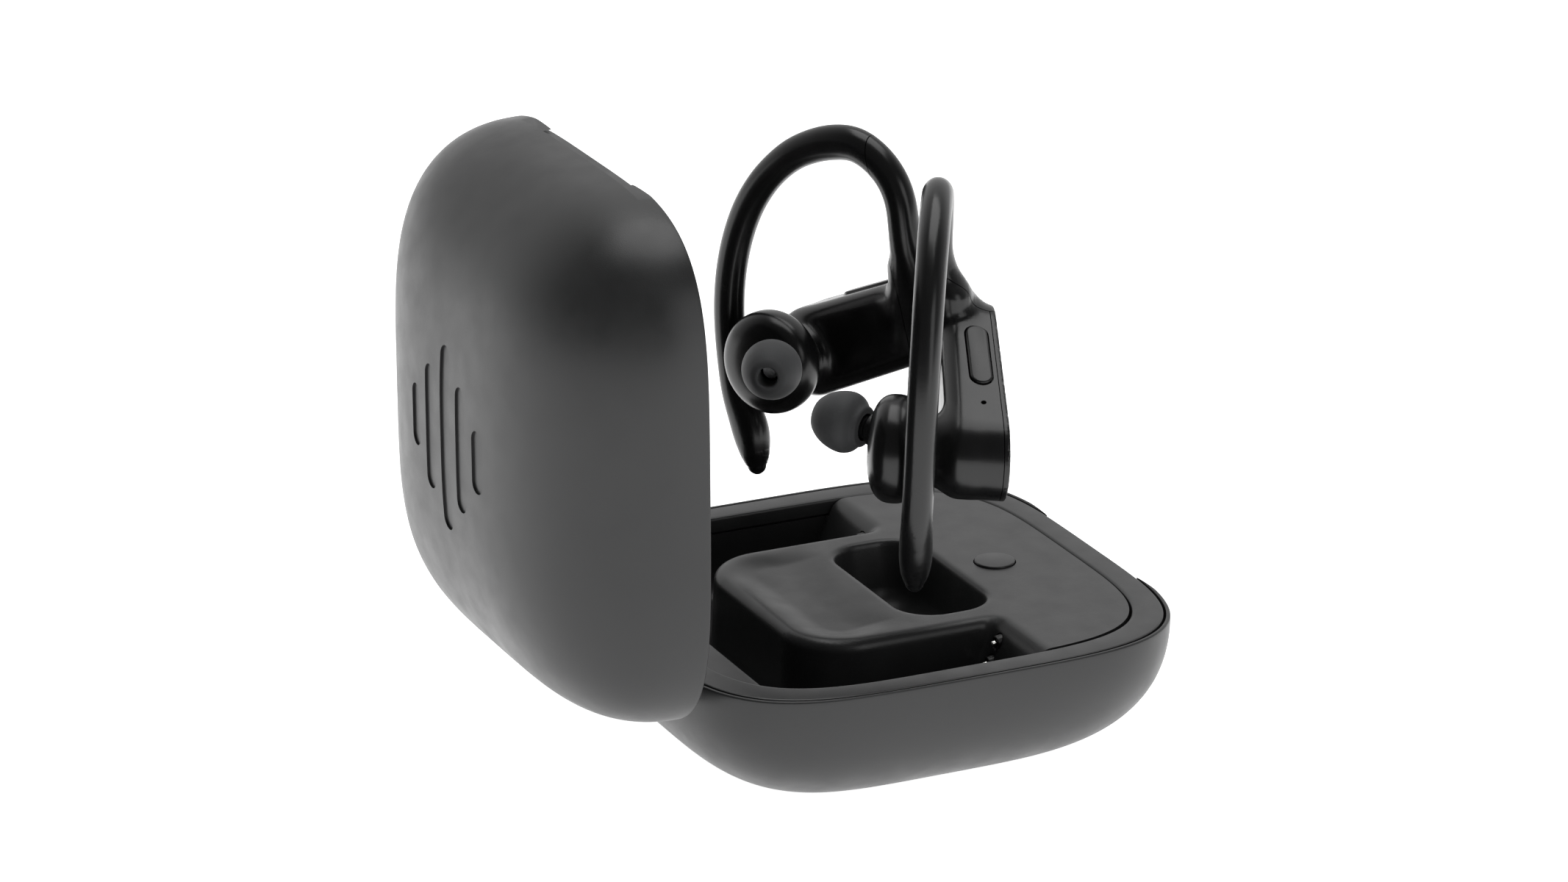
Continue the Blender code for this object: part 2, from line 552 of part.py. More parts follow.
for side, tag in ((-1, "left"), (1, "right")):
    cut(liner, turned("liner_magnet_cutter_" + tag, (side * MAGNET_X, magnet_y, LID_Z + 0.8),
                      (0, 0, 1), [(1.45, 0), (1.45, 4)], cutter=True, count=16, parent=lid_pivot))
    turned("lid_magnet_" + tag, (side * MAGNET_X, magnet_y, LID_Z + 1.1),
           (0, 0, 1), [(1.15, 0), (1.15, 1.1)], STEEL, count=16, parent=lid_pivot)


# ---------------------------------------------------------------- earbuds
def placer(side):
    """Maps hook-plane coordinates (along, out, height) to the upright earbud, mirrored for one side."""
    def place(p):
        return (side * p[0] + side * BUD_X, BUD_Y - p[1], RIM_Z + p[2])
    return place


def section(centre, tangent, half_in, half_out, power, count=14):
    """A ring across the hook at centre, square to the tangent in the hook plane."""
    tu, tw = tangent
    size = math.hypot(tu, tw)
    nu, nw = tw / size, -tu / size
    ring = []
    for k in range(count):
        t = 2 * math.pi * (k + 0.5) / count
        c, s = math.cos(t), math.sin(t)
        p = half_in * math.copysign(abs(c) ** (2 / power), c)
        q = half_out * math.copysign(abs(s) ** (2 / power), s)
        ring.append((centre[0] + nu * p, centre[1] + q, centre[2] + nw * p))
    return ring


# (along, height, out, half thickness in the plane, half thickness across), from the neck
# over the top of the hook to its tail
HOOK_LINE = [
    (-20.8, 47.5, 2.0, 2.9, 3.1), (-20.6, 50.5, 0.6, 2.45, 2.5), (-20.2, 52.6, 0.1, 2.3, 2.3),
    (-19.7, 55.3, 0, 2.3, 2.25), (-18.2, 58.3, 0, 2.35, 2.25), (-15.4, 60.9, 0, 2.45, 2.25),
    (-11.5, 62.5, 0, 2.55, 2.25), (-7.3, 62.0, 0, 2.6, 2.25), (-3.9, 60.8, 0, 2.5, 2.25),
    (-0.6, 59.0, 0, 2.4, 2.25), (2.4, 56.4, 0, 2.3, 2.2), (4.7, 53.7, 0, 2.3, 2.2),
    (6.8, 50.3, 0, 2.3, 2.2), (8.4, 46.4, 0, 2.3, 2.2), (9.5, 42.2, 0, 2.3, 2.2),
    (10.1, 37.8, 0, 2.3, 2.2), (10.2, 33.6, 0, 2.3, 2.2), (9.9, 29.6, 0, 2.3, 2.2),
    (9.3, 25.5, 0, 2.32, 2.2), (8.6, 22.0, 0, 2.4, 2.2), (7.7, 19.6, 0, 2.6, 2.25),
    (6.5, 17.5, 0, 2.95, 2.35), (5.6, 15.2, 0, 3.0, 2.4), (5.0, 12.8, 0, 2.5, 2.2),
    (4.6, 11.0, 0, 1.8, 1.7), (4.4, 9.9, 0, 1.05, 1.0)]


def hook_rings():
    rings = [section((-20.72, 4.5, 37.05), (-0.972, 0.233), 6.1, 3.6, 3.2),
             section((-21.6, 4.45, 37.9), (-0.954, 0.3), 5.85, 3.65, 3.1),
             section((-22.5, 4.35, 40.9), (-0.55, 0.835), 4.6, 3.7, 2.9),
             section((-22.0, 4.0, 42.6), (-0.15, 0.989), 3.95, 3.7, 2.7),
             section((-21.4, 3.3, 44.9), (0.1, 0.99), 3.35, 3.6, 2.4)]
    for k, (u, w, v, half_in, half_out) in enumerate(HOOK_LINE):
        before = HOOK_LINE[max(k - 1, 0)]
        after = HOOK_LINE[min(k + 1, len(HOOK_LINE) - 1)]
        tangent = (after[0] - before[0], after[1] - before[1])
        scale = HOOK_THICKNESS
        rings.append(section((u, v, w), tangent, half_in * scale, half_out * scale, 2.0))
    rings.append([(4.35, 0, 9.45)])
    return rings


def stadium(inset, out_at, steps=9):
    """Side outline of the body between its two round ends. out_at gives the height off the hook."""
    (u1, w1, r1), (u2, w2, r2) = BODY_REAR, BODY_FRONT
    lean = math.atan2(w2 - w1, u2 - u1)
    tilt = math.asin((r1 - r2) / math.hypot(u2 - u1, w2 - w1))
    ring = []
    for (u, w, r), first in (((u1, w1, r1), lean + math.pi / 2 - tilt),
                             ((u2, w2, r2), lean - math.pi / 2 + tilt)):
        span = math.pi + (2 * tilt if r == r1 else -2 * tilt)
        for k in range(steps + 1):
            t = first + span * k / steps
            p = (u + (r - inset) * math.cos(t), w + (r - inset) * math.sin(t))
            ring.append((p[0], out_at(p[0]), p[1]))
    return ring


def face_in(u):
    return 3.0 + 0.10 * u


def face_out(u):
    return 11.8 + 0.15 * u


def along_body(u_offset, w_up, v):
    """A point on the body's upper edge line: distance from the rear end, rise off it, out."""
    (u1, w1, r1), (u2, w2, r2) = BODY_REAR, BODY_FRONT
    length = math.hypot(u2 - u1, w2 - w1)
    du, dw = (u2 - u1) / length, (w2 - w1) / length
    nu, nw = dw, -du
    r = r1 + (r2 - r1) * u_offset / length
    return (u1 + du * u_offset + nu * (r + w_up), v, w1 + dw * u_offset + nw * (r + w_up))


PUSH_AXIS = (-0.148, 0.989, 0)
ROCKER_MID = 13.0
ROCKER_IN = 3.2             # from the outer face to the middle of the rocker


def rocker_pivot_v():
    u, _, _ = along_body(ROCKER_MID, -0.3, 0.0)
    return face_out(u) - ROCKER_IN


def pill(half_len, half_wide, rise, grow=0.0, steps=7):
    ring = []
    for sign in (1, -1):
        for k in range(steps + 1):
            t = -math.pi / 2 + math.pi * k / steps + (0 if sign > 0 else math.pi)
            along = sign * (half_len - half_wide) + (half_wide + grow) * math.cos(t)
            across = (half_wide + grow) * math.sin(t)
            u, v, w = along_body(ROCKER_MID + along, rise, 0.0)
            ring.append((u, face_out(u) - ROCKER_IN + across, w))
    return ring


def make_earbud(side, tag):
    place = placer(side)
    stand = anchor("bud_stand_" + tag, (side * BUD_X, BUD_Y, RIM_Z + BUD_RISE),
                   (math.radians(BUD_LEAN), 0, math.radians(side * BUD_YAW)))

    def bud_loft(piece, rings, mat=None, cutter=False, origin=None):
        placed = [[place(p) for p in ring] for ring in rings]
        start = place(origin) if origin else (0, 0, 0)
        return loft(f"{piece}_{tag}", placed, mat, cutter, parent=stand, origin=start)

    def bud_turned(piece, base, axis, profile, mat=None, cutter=False, count=20, hollow=False):
        turn = (side * axis[0], -axis[1], axis[2])
        return turned(f"{piece}_{tag}", place(base), turn, profile, mat, cutter, count,
                      parent=stand, hollow=hollow)

    bud_loft("ear_hook", hook_rings(), GLOSS)

    housing = bud_loft("bud_housing", [
        stadium(2.4, face_in), stadium(1.0, lambda u: face_in(u) + 0.35),
        stadium(0.3, lambda u: face_in(u) + 1.0), stadium(0.0, lambda u: face_in(u) + 2.0),
        stadium(0.0, lambda u: face_out(u) - COVER_T - 0.25)], GLOSS)
    hollow = bud_loft("housing_hollow_cutter", [
        stadium(2.2, lambda u: face_in(u) + 2.2), stadium(1.2, lambda u: face_in(u) + 2.8),
        stadium(1.2, lambda u: face_out(u) + 2)], cutter=True)
    # Everything forward of this slanted plane belongs to the neck of the hook
    (cu, cw), (du, dw) = SEAM_POINT, SEAM_UP
    seam_cut = bud_loft("seam_cutter", [
        [(cu - du * 12, v, cw - dw * 12), (cu + du * 12, v, cw + dw * 12),
         (cu + 1.3 - 20, v, cw + 20), (cu + 1.3 - 26, v, cw - 14)] for v in (-6, 16)], cutter=True)
    stem = bud_turned("stem_piece_cutter", (-1.2, 5.0, 28.1), (0, -1, 0),
                      [(0, 0), (6.0, 0), (5.6, 1.6), (5.0, 2.6), (4.85, 4.6), (0, 4.6)],
                      cutter=True, count=24)
    rocker_room = bud_loft("rocker_room_cutter", [
        pill(5.8, 1.55, -1.25, 0.25), pill(5.8, 1.55, 2.0, 0.25)], cutter=True)
    cut(housing, hollow, seam_cut)
    combine(housing, stem, "UNION")
    cut(housing, rocker_room)

    bud_loft("volume_rocker", [
        pill(5.8, 1.55, -0.85), pill(5.8, 1.55, 0.2), pill(5.8, 1.55, 0.4, -0.25)], GLOSS,
        origin=along_body(ROCKER_MID, -0.3, rocker_pivot_v()))

    cover = bud_loft("bud_cover", [
        stadium(0.0, lambda u: face_out(u) - COVER_T), stadium(0.0, lambda u: face_out(u) - 0.3),
        stadium(0.3, face_out)], GLOSS)
    u, w, _ = BODY_REAR
    face = (u, face_out(u), w)
    cut(cover, seam_cut, bud_turned("push_hole_cutter", face, PUSH_AXIS, [(3.6, -4), (3.6, 4)],
                                    cutter=True, count=24))
    bud_turned("push_button", face, PUSH_AXIS,
               [(0, -1.5), (3.3, -1.5), (3.3, 0.1), (3.0, 0.35), (0, 0.35)], GLOSS, count=24)

    # Pod: a rounded puck with the driver in a recess at its back
    profile = []
    for k in range(9):
        t = -math.pi / 2 + math.pi * k / 8
        out = abs(math.cos(t)) ** (2 / 2.6) if 0 < k < 8 else 0
        profile.append((POD_R * out,
                        POD_HALF * math.copysign(abs(math.sin(t)) ** (2 / 2.6), math.sin(t))))
    pod = bud_turned("bud_pod", POD, (0, 1, 0), profile, GLOSS, count=24)
    back = (POD[0] - 0.4, 3.0, POD[2] - 0.2)
    cut(pod, bud_turned("driver_room_cutter", back, (0, -1, 0), [(5.35, 0), (5.35, 6.2)],
                        cutter=True, count=24))
    bud_turned("speaker_driver", (back[0], -0.4, back[2]), (0, -1, 0), [(4.6, 0), (4.6, 2.2)],
               STEEL, count=20)

    bud_turned("nozzle", TIP_BASE, TIP_AXIS,
               [(0, -1.2), (2.3, -1.2), (2.3, 0.3), (1.7, 0.6), (1.7, 4.2), (0, 4.2)], GLOSS, count=20)
    cut(pod, bud_turned("nozzle_room_cutter", TIP_BASE, TIP_AXIS, [(2.6, -1.5), (2.6, 3.0)],
                        cutter=True, count=20))
    bud_turned("ear_tip", TIP_BASE, TIP_AXIS,
               [(2.0, 1.2), (2.9, 1.2), (3.1, 2.0), (4.1, 2.9), (4.45, 4.0), (4.35, 5.2), (3.95, 6.6),
                (3.3, 7.8), (2.4, 8.8), (1.45, 9.1), (1.45, 5.2), (2.0, 4.5)], SOFT, count=24,
               hollow=True)
    bud_turned("nozzle_mesh", TIP_BASE, TIP_AXIS, [(1.2, 4.5), (1.2, 4.9)], STEEL, count=16)

    cell = []
    for v_rear, v_front in ((5.8, 4.9), (8.6, 6.7)):
        cell.append([along_body(5.6, -3.0, v_rear), along_body(15.0, -3.0, v_front),
                     along_body(15.0, -9.4, v_front), along_body(5.6, -9.4, v_rear)])
    bud_loft("bud_battery", cell, CELL)


make_earbud(-1, "left")
make_earbud(1, "right")
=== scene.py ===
"""Looks for the charging case and its ear-hook earbuds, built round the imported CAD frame.

Sizes are in millimetres and become metres when a mesh is made. Case pieces are drawn from the
same squircle and pillow profile as the CAD, only finer. The earbud bodies and the tray are
drawn as smooth solids that flow into each other, then cut into their real pieces.
"""

import json
import math

import bmesh
import bpy
import numpy as np
from mathutils import Matrix, Vector


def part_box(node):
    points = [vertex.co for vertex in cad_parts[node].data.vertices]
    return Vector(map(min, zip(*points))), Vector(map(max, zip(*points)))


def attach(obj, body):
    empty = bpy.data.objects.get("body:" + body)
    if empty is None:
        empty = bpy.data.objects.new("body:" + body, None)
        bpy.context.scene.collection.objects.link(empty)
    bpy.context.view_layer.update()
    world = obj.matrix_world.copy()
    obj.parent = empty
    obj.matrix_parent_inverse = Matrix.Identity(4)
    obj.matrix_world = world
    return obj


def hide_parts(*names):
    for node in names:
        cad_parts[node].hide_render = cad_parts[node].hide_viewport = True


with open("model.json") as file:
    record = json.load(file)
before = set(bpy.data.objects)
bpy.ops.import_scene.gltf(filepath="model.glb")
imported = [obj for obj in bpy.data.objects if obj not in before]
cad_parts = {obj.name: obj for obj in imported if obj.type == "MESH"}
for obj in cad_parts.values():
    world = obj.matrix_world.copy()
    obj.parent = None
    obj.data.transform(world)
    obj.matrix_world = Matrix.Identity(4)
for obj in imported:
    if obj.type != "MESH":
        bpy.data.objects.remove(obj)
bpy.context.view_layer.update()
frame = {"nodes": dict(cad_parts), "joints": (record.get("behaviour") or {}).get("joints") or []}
MM = 0.001
nodes = frame["nodes"]
joints = {j["name"]: j for j in frame["joints"]}

# ------------------------------------------------------------------ sizes from the frame
RIM_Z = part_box("rim_frame")[1].z / MM
hinge = [c / MM for c in joints["lid_hinge"]["pos_m"]]
HINGE_Y, PIVOT_Z = hinge[1], hinge[2]
OPEN = math.radians(joints["lid_hinge"]["range_deg"][1])
HALF_X, HALF_Y, POWER = 38.55, 38.5, 4.14
DEPTH, HEIGHT_POWER, INSET_POWER = 23.0, 2.32, 3.05
WALL, LIP, LIP_DEPTH, GAP, LID_GAP = 1.7, 0.55, 2.6, 0.3, 0.45
BAND, FRAME_DEPTH = 3.95, 2.3
RIM_INNER = LIP + GAP + BAND
TRAY_TOP = RIM_INNER + GAP
LID_Z = RIM_Z + LID_GAP
CAVITY = DEPTH - 1.8
ARM_HALF, EAR_OUTER, SCOOP_HALF, SCOOP_DEPTH = 14.4, 18.4, 20.6, 2.2


# ------------------------------------------------------------------ materials
def surface(name, colour, rough, vary=0.06, tint=0.12, grain=0.02, size=9000.0, metallic=0.0,
            specular=0.5, coat=0.0, sheen=0.0, smear=220.0):
    """Moulded or plated finish: fine grain in the bump, slow clouds in colour and roughness."""
    mat = bpy.data.materials.new(name)
    mat.use_nodes = True
    tree = mat.node_tree
    link, new = tree.links.new, tree.nodes.new
    shader = tree.nodes["Principled BSDF"]
    shader.inputs["Metallic"].default_value = metallic
    shader.inputs["Specular IOR Level"].default_value = specular
    shader.inputs["Coat Weight"].default_value = coat
    shader.inputs["Coat Roughness"].default_value = 0.08
    shader.inputs["Sheen Weight"].default_value = sheen
    where = new("ShaderNodeTexCoord")

    def noise(scale, detail, roughness=0.5):
        node = new("ShaderNodeTexNoise")
        node.inputs["Scale"].default_value = scale
        node.inputs["Detail"].default_value = detail
        node.inputs["Roughness"].default_value = roughness
        link(where.outputs["Object"], node.inputs["Vector"])
        return node.outputs["Fac"]

    cloud, fine = noise(smear, 4.0), noise(size, 2.0, 0.6)
    ramp = new("ShaderNodeValToRGB")
    for stop, share, place in ((0, 1 - tint, 0.3), (1, 1 + tint, 0.7)):
        ramp.color_ramp.elements[stop].position = place
        ramp.color_ramp.elements[stop].color = (*(min(1, c * share) for c in colour), 1)
    link(cloud, ramp.inputs["Fac"])
    link(ramp.outputs["Color"], shader.inputs["Base Color"])
    worn = new("ShaderNodeMath")
    worn.operation = "MULTIPLY_ADD"
    link(fine, worn.inputs[0])
    worn.inputs[1].default_value = 0.35
    link(cloud, worn.inputs[2])
    level = new("ShaderNodeMapRange")
    level.inputs["From Min"].default_value = 0.4
    level.inputs["From Max"].default_value = 0.95
    level.inputs["To Min"].default_value = max(0.02, rough - vary)
    level.inputs["To Max"].default_value = rough + vary
    link(worn.outputs[0], level.inputs["Value"])
    link(level.outputs["Result"], shader.inputs["Roughness"])
    bump = new("ShaderNodeBump")
    bump.inputs["Strength"].default_value = grain
    bump.inputs["Distance"].default_value = 0.00006
    link(fine, bump.inputs["Height"])
    link(bump.outputs["Normal"], shader.inputs["Normal"])
    return mat


SHELL = surface("shell_satin", (0.0235, 0.0238, 0.0243), 0.36, tint=0.05, grain=0.22, size=7000)
TRAY = surface("tray_satin", (0.0260, 0.0263, 0.0268), 0.36, tint=0.05, grain=0.22, size=6000)
INNER = surface("liner_satin", (0.0260, 0.0263, 0.0268), 0.38, tint=0.05, grain=0.22, size=6000)
GLOSS = surface("bud_gloss", (0.0062, 0.0063, 0.0066), 0.25, vary=0.03, grain=0.03)
COVER = surface("bud_cover_gloss", (0.0068, 0.0069, 0.0072), 0.27, vary=0.03, grain=0.04)
KEY = surface("bud_key_gloss", (0.0078, 0.0079, 0.0082), 0.29, vary=0.03, grain=0.05)
SOFT = surface("tip_silicone", (0.068, 0.0695, 0.072), 0.62, tint=0.06, vary=0.05, grain=0.35, size=5000,
               specular=0.35, sheen=0.15)
SEAT = surface("contact_seat_plastic", (0.016, 0.016, 0.017), 0.34, grain=0.1)
PLATED = surface("contact_plating", (0.80, 0.80, 0.77), 0.16, vary=0.05, metallic=1.0)
STEEL = surface("plain_steel", (0.50, 0.50, 0.52), 0.32, vary=0.08, grain=0.12, metallic=1.0)
BOARD = surface("solder_mask", (0.02, 0.11, 0.05), 0.42, tint=0.3, grain=0.2, size=2500, smear=900)
WRAP = surface("cell_film", (0.25, 0.26, 0.28), 0.38, grain=0.25, size=1500)
PIPE = surface("light_pipe_frost", (0.72, 0.72, 0.69), 0.36, grain=0.2)
MESH = surface("nozzle_mesh_steel", (0.30, 0.30, 0.31), 0.4, grain=0.9, size=4000, metallic=1.0)


# ------------------------------------------------------------------ mesh helpers
def piece(name, verts, faces, mat, body, stands_for=(), crease=35):
    """A piece of the object: a mesh in the row frame that rides on a body."""
    mesh = bpy.data.meshes.new(name)
    mesh.from_pydata([tuple(v) for v in np.asarray(verts, float) * MM], [], faces)
    mesh.validate()
    return settle(name, mesh, mat, body, stands_for, crease)


def settle(name, mesh, mat, body, stands_for=(), crease=35):
    mesh.name = name
    mesh.materials.clear()
    mesh.materials.append(mat)
    mesh.shade_smooth()
    mesh.set_sharp_from_angle(angle=math.radians(crease))
    obj = bpy.data.objects.new(name, mesh)
    bpy.context.scene.collection.objects.link(obj)
    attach(obj, body)
    if stands_for:
        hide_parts(*stands_for)
    return obj


def skin(rings, loop=False):
    """Faces between rings of equal count, closed by flat ends or joined into a loop."""
    count, faces = len(rings[0]), []
    pairs = list(zip(range(len(rings) - 1), range(1, len(rings))))
    if loop:
        pairs.append((len(rings) - 1, 0))
    for i, j in pairs:
        for k in range(count):
            m = (k + 1) % count
            faces.append((i * count + k, j * count + k, j * count + m, i * count + m))
    if not loop:
        faces.append(tuple(range(count)))
        last = (len(rings) - 1) * count
        faces.append(tuple(reversed(range(last, last + count))))
    return np.concatenate(rings), faces


def outward(verts, faces):
    """Flips every face when the closed mesh is inside out."""
    v = np.asarray(verts, float)
    tris = np.array([(f[0], a, b) for f in faces for a, b in zip(f[1:-1], f[2:])])
    a, b, c = v[tris[:, 0]], v[tris[:, 1]], v[tris[:, 2]]
    volume = (a * np.cross(b, c)).sum()
    return [tuple(reversed(f)) for f in faces] if volume < 0 else faces


def carve(mesh, tools, operation="DIFFERENCE"):
    """Cuts closed shapes out of a mesh and returns the result as a new mesh."""
    target = bpy.data.objects.new("carved", mesh)
    bpy.context.scene.collection.objects.link(target)
    made = []
    for verts, faces in tools:
        shape = bpy.data.meshes.new("tool")
        shape.from_pydata([tuple(v) for v in np.asarray(verts, float) * MM], [],
                          outward(verts, faces))
        tool = bpy.data.objects.new("tool", shape)
        bpy.context.scene.collection.objects.link(tool)
        made.append(tool)
        mod = target.modifiers.new("cut", "BOOLEAN")
        mod.operation, mod.solver, mod.object = operation, "EXACT", tool
    result = bpy.data.meshes.new_from_object(
        target.evaluated_get(bpy.context.evaluated_depsgraph_get()))
    for obj in [target, *made]:
        bpy.data.objects.remove(obj)
    return result


def raw(verts, faces):
    mesh = bpy.data.meshes.new("raw")
    mesh.from_pydata([tuple(v) for v in np.asarray(verts, float) * MM], [],
                     outward(verts, faces))
    return mesh


def block(low, high):
    """A box from its two opposite corners."""
    (a, b, c), (d, e, f) = low, high
    rings = [np.array([(a, b, z), (d, b, z), (d, e, z), (a, e, z)]) for z in (c, f)]
    return skin(rings)


def rounded(half_x, half_y, radius, centre=(0, 0), steps=10):
    ring = []
    for quarter, (sx, sy) in enumerate(((1, 1), (-1, 1), (-1, -1), (1, -1))):
        for k in range(steps + 1):
            t = math.pi / 2 * (quarter + k / steps)
            ring.append((centre[0] + sx * (half_x - radius) + radius * math.cos(t),
                         centre[1] + sy * (half_y - radius) + radius * math.sin(t)))
    return np.array(ring)


def turn(base, axis, profile, count=48, loop=False):
    """A profile of (radius, distance along axis) pairs spun about an axis."""
    z = Vector(axis).normalized()
    x = z.orthogonal().normalized()
    y = z.cross(x)
    rings = []
    for r, along in profile:
        t = np.arange(count) * 2 * math.pi / count
        rings.append(np.array(base) + np.outer(np.cos(t) * max(r, 1e-3), x)
                     + np.outer(np.sin(t) * max(r, 1e-3), y) + np.array(z) * along)
    verts, faces = skin(rings, loop)
    return verts, outward(verts, faces)


def soften(profile, radius, steps=4):
    """Rounds the corners of an open profile."""
    points = [np.array(p, float) for p in profile]
    made = [points[0]]
    for a, b, c in zip(points, points[1:], points[2:]):
        la, lc = np.linalg.norm(a - b), np.linalg.norm(c - b)
        d = min(radius, la * 0.45, lc * 0.45)
        p, q = b + (a - b) / la * d, b + (c - b) / lc * d
        for k in range(steps + 1):
            t = k / steps
            made.append((1 - t) ** 2 * p + 2 * t * (1 - t) * b + t * t * q)
    made.append(points[-1])
    return made


# ------------------------------------------------------------------ case outline and pillow
def even(points, count, closed=True):
    """Points spread evenly along a fine line."""
    line = np.vstack([points, points[:1]]) if closed else np.asarray(points)
    run = np.r_[0, np.cumsum(np.linalg.norm(np.diff(line, axis=0), axis=1))]
    want = np.linspace(0, run[-1], count + 1)[:-1] if closed else np.linspace(0, run[-1], count)
    return np.stack([np.interp(want, run, line[:, k]) for k in range(line.shape[1])], 1)


AROUND = 232
_t = np.linspace(0, 2 * math.pi, 24001)[:-1]
_fine = np.c_[np.sign(np.cos(_t)) * abs(np.cos(_t)) ** (2 / POWER),
              np.sign(np.sin(_t)) * abs(np.sin(_t)) ** (2 / POWER)]
UNIT = even(_fine, AROUND)


def squircle(inset, z):
    return np.c_[UNIT[:, 0] * (HALF_X - inset), UNIT[:, 1] * (HALF_Y - inset),
                 np.full(AROUND, float(z))]


def pillow(inset, depth, steps, stop=1.0, start=0.0):
    """(inset, drop) pairs of the pillow profile between two drops, evenly spaced."""
    reach = HALF_X - 0.15 - inset
    s = np.linspace(0, math.pi / 2, 6001)
    drop = depth * np.sin(s) ** (2 / HEIGHT_POWER)
    moved = inset + reach * (1 - np.cos(s) ** (2 / INSET_POWER))
    keep = (drop >= start - 1e-9) & (drop <= stop * depth + 1e-9)
    return even(np.c_[moved[keep], drop[keep]], steps, closed=False)


def swing_mesh(mesh):
    """Carries a shut-lid mesh to where the open lid holds it."""
    turned = (Matrix.Translation((0, HINGE_Y * MM, PIVOT_Z * MM))
              @ Matrix.Rotation(-OPEN, 4, "X")
              @ Matrix.Translation((0, -HINGE_Y * MM, -PIVOT_Z * MM)))
    mesh.transform(turned)
    return mesh


def inset_at(inset, depth, drop):
    reach = HALF_X - 0.15 - inset
    return inset + reach * (1 - (1 - (drop / depth) ** HEIGHT_POWER) ** (1 / INSET_POWER))


# ------------------------------------------------------------------ base shell and rim
# The rounded top of the thin outer lip, from outside to inside, as (inset, drop)
LIP_TURN = [(0.0, 0.30), (0.02, 0.16), (0.08, 0.06), (0.18, 0.01), (0.30, 0.0), (0.42, 0.02),
            (0.52, 0.10), (LIP, 0.2), (LIP, LIP_DEPTH)]

rings = [squircle(i, RIM_Z - d) for i, d in pillow(0, DEPTH, 46, stop=RIM_Z / DEPTH)[::-1][:-1]]
rings += [squircle(i, RIM_Z - d) for i, d in LIP_TURN]
rings += [squircle(i, RIM_Z - d) for i, d in
          pillow(WALL, CAVITY, 22, stop=(RIM_Z - 1.8) / CAVITY, start=LIP_DEPTH)]
PORT_DROP, LIGHT_DROP = 11.0, 7.0
port_y = HALF_Y - inset_at(0, DEPTH, PORT_DROP)
light_y = -HALF_Y + inset_at(0, DEPTH, LIGHT_DROP)
slot_low = PIVOT_Z - 1.35 - 0.45
port_outline = rounded(5.0, 2.0, 1.95)
port_rings = [np.c_[port_outline[:, 0], np.full(len(port_outline), y),
                    RIM_Z - PORT_DROP + port_outline[:, 1]] for y in (port_y - 4, HALF_Y + 3)]
base = carve(raw(*skin(rings)), [
    block((-SCOOP_HALF, -HALF_Y - 2, RIM_Z - SCOOP_DEPTH), (SCOOP_HALF, -HALF_Y + 0.7, RIM_Z + 2)),
    block((-ARM_HALF - 0.4, HINGE_Y - 2.6, slot_low), (ARM_HALF + 0.4, HALF_Y + 3, RIM_Z + 2)),
    block((-EAR_OUTER - 0.4, HINGE_Y - 5.6, slot_low),
          (EAR_OUTER + 0.4, HALF_Y + 3, RIM_Z - LIP_DEPTH + 0.05)),
    skin(port_rings),
    turn((0, light_y - 2, RIM_Z - LIGHT_DROP), (0, 1, 0), [(1.0, 0), (1.0, 5)])])
settle("shell_lower", base, SHELL, "base", ("base_shell",))

edge_out, edge_in = LIP + GAP, RIM_INNER
profile = [(edge_out, FRAME_DEPTH), (edge_out, 0.26), (edge_out + 0.04, 0.1), (edge_out + 0.14, 0.02),
           (edge_out + 0.3, 0), (edge_in - 0.55, 0), (edge_in - 0.3, 0.03), (edge_in - 0.12, 0.12),
           (edge_in - 0.02, 0.3), (edge_in, 0.5), (edge_in, FRAME_DEPTH)]
rim = carve(raw(*skin([squircle(i, RIM_Z - d) for i, d in profile], loop=True)), [
    block((-ARM_HALF - 0.4, HINGE_Y - 3.6, RIM_Z - 4), (ARM_HALF + 0.4, HALF_Y + 3, RIM_Z + 2))])
settle("rim_band", rim, SHELL, "base", ("rim_frame",))

# ------------------------------------------------------------------ lid
rings = [squircle(i, LID_Z + d) for i, d in pillow(0, DEPTH, 60, stop=0.9999)[::-1][:-1]]
rings += [squircle(i, LID_Z + d) for i, d in LIP_TURN]
rings += [squircle(i, LID_Z + d) for i, d in pillow(WALL, CAVITY, 26, stop=0.9999, start=LIP_DEPTH)]
MARK_BARS = ((-11, 4.6), (-5.5, 9.2), (0, 13.6), (5.5, 9.2), (11, 4.6))
lid = carve(raw(*skin(rings)), [
    block((-SCOOP_HALF, -HALF_Y - 2, LID_Z - 2), (SCOOP_HALF, -HALF_Y + 0.7, LID_Z + SCOOP_DEPTH)),
    block((-ARM_HALF - 0.4, HINGE_Y - 2.0, LID_Z - 2), (ARM_HALF + 0.4, HALF_Y + 3, LID_Z + 2.5))])
floor_rings = skin([squircle(i + 0.3, LID_Z + d - 0.3)
                    for i, d in pillow(0, DEPTH, 60, stop=0.9999)])
for x, half in MARK_BARS:
    ring = rounded(1.6, half, 1.58, (x, 0))
    bar = raw(*skin([np.c_[ring, np.full(len(ring), z)] for z in (LID_Z + 18, LID_Z + 25)]))
    bar = carve(bar, [floor_rings])
    lid = carve(lid, [(np.array([v.co for v in bar.vertices]) / MM,
                       [tuple(p.vertices) for p in bar.polygons])])
settle("shell_upper", swing_mesh(lid), SHELL, "lid", ("lid_shell",))

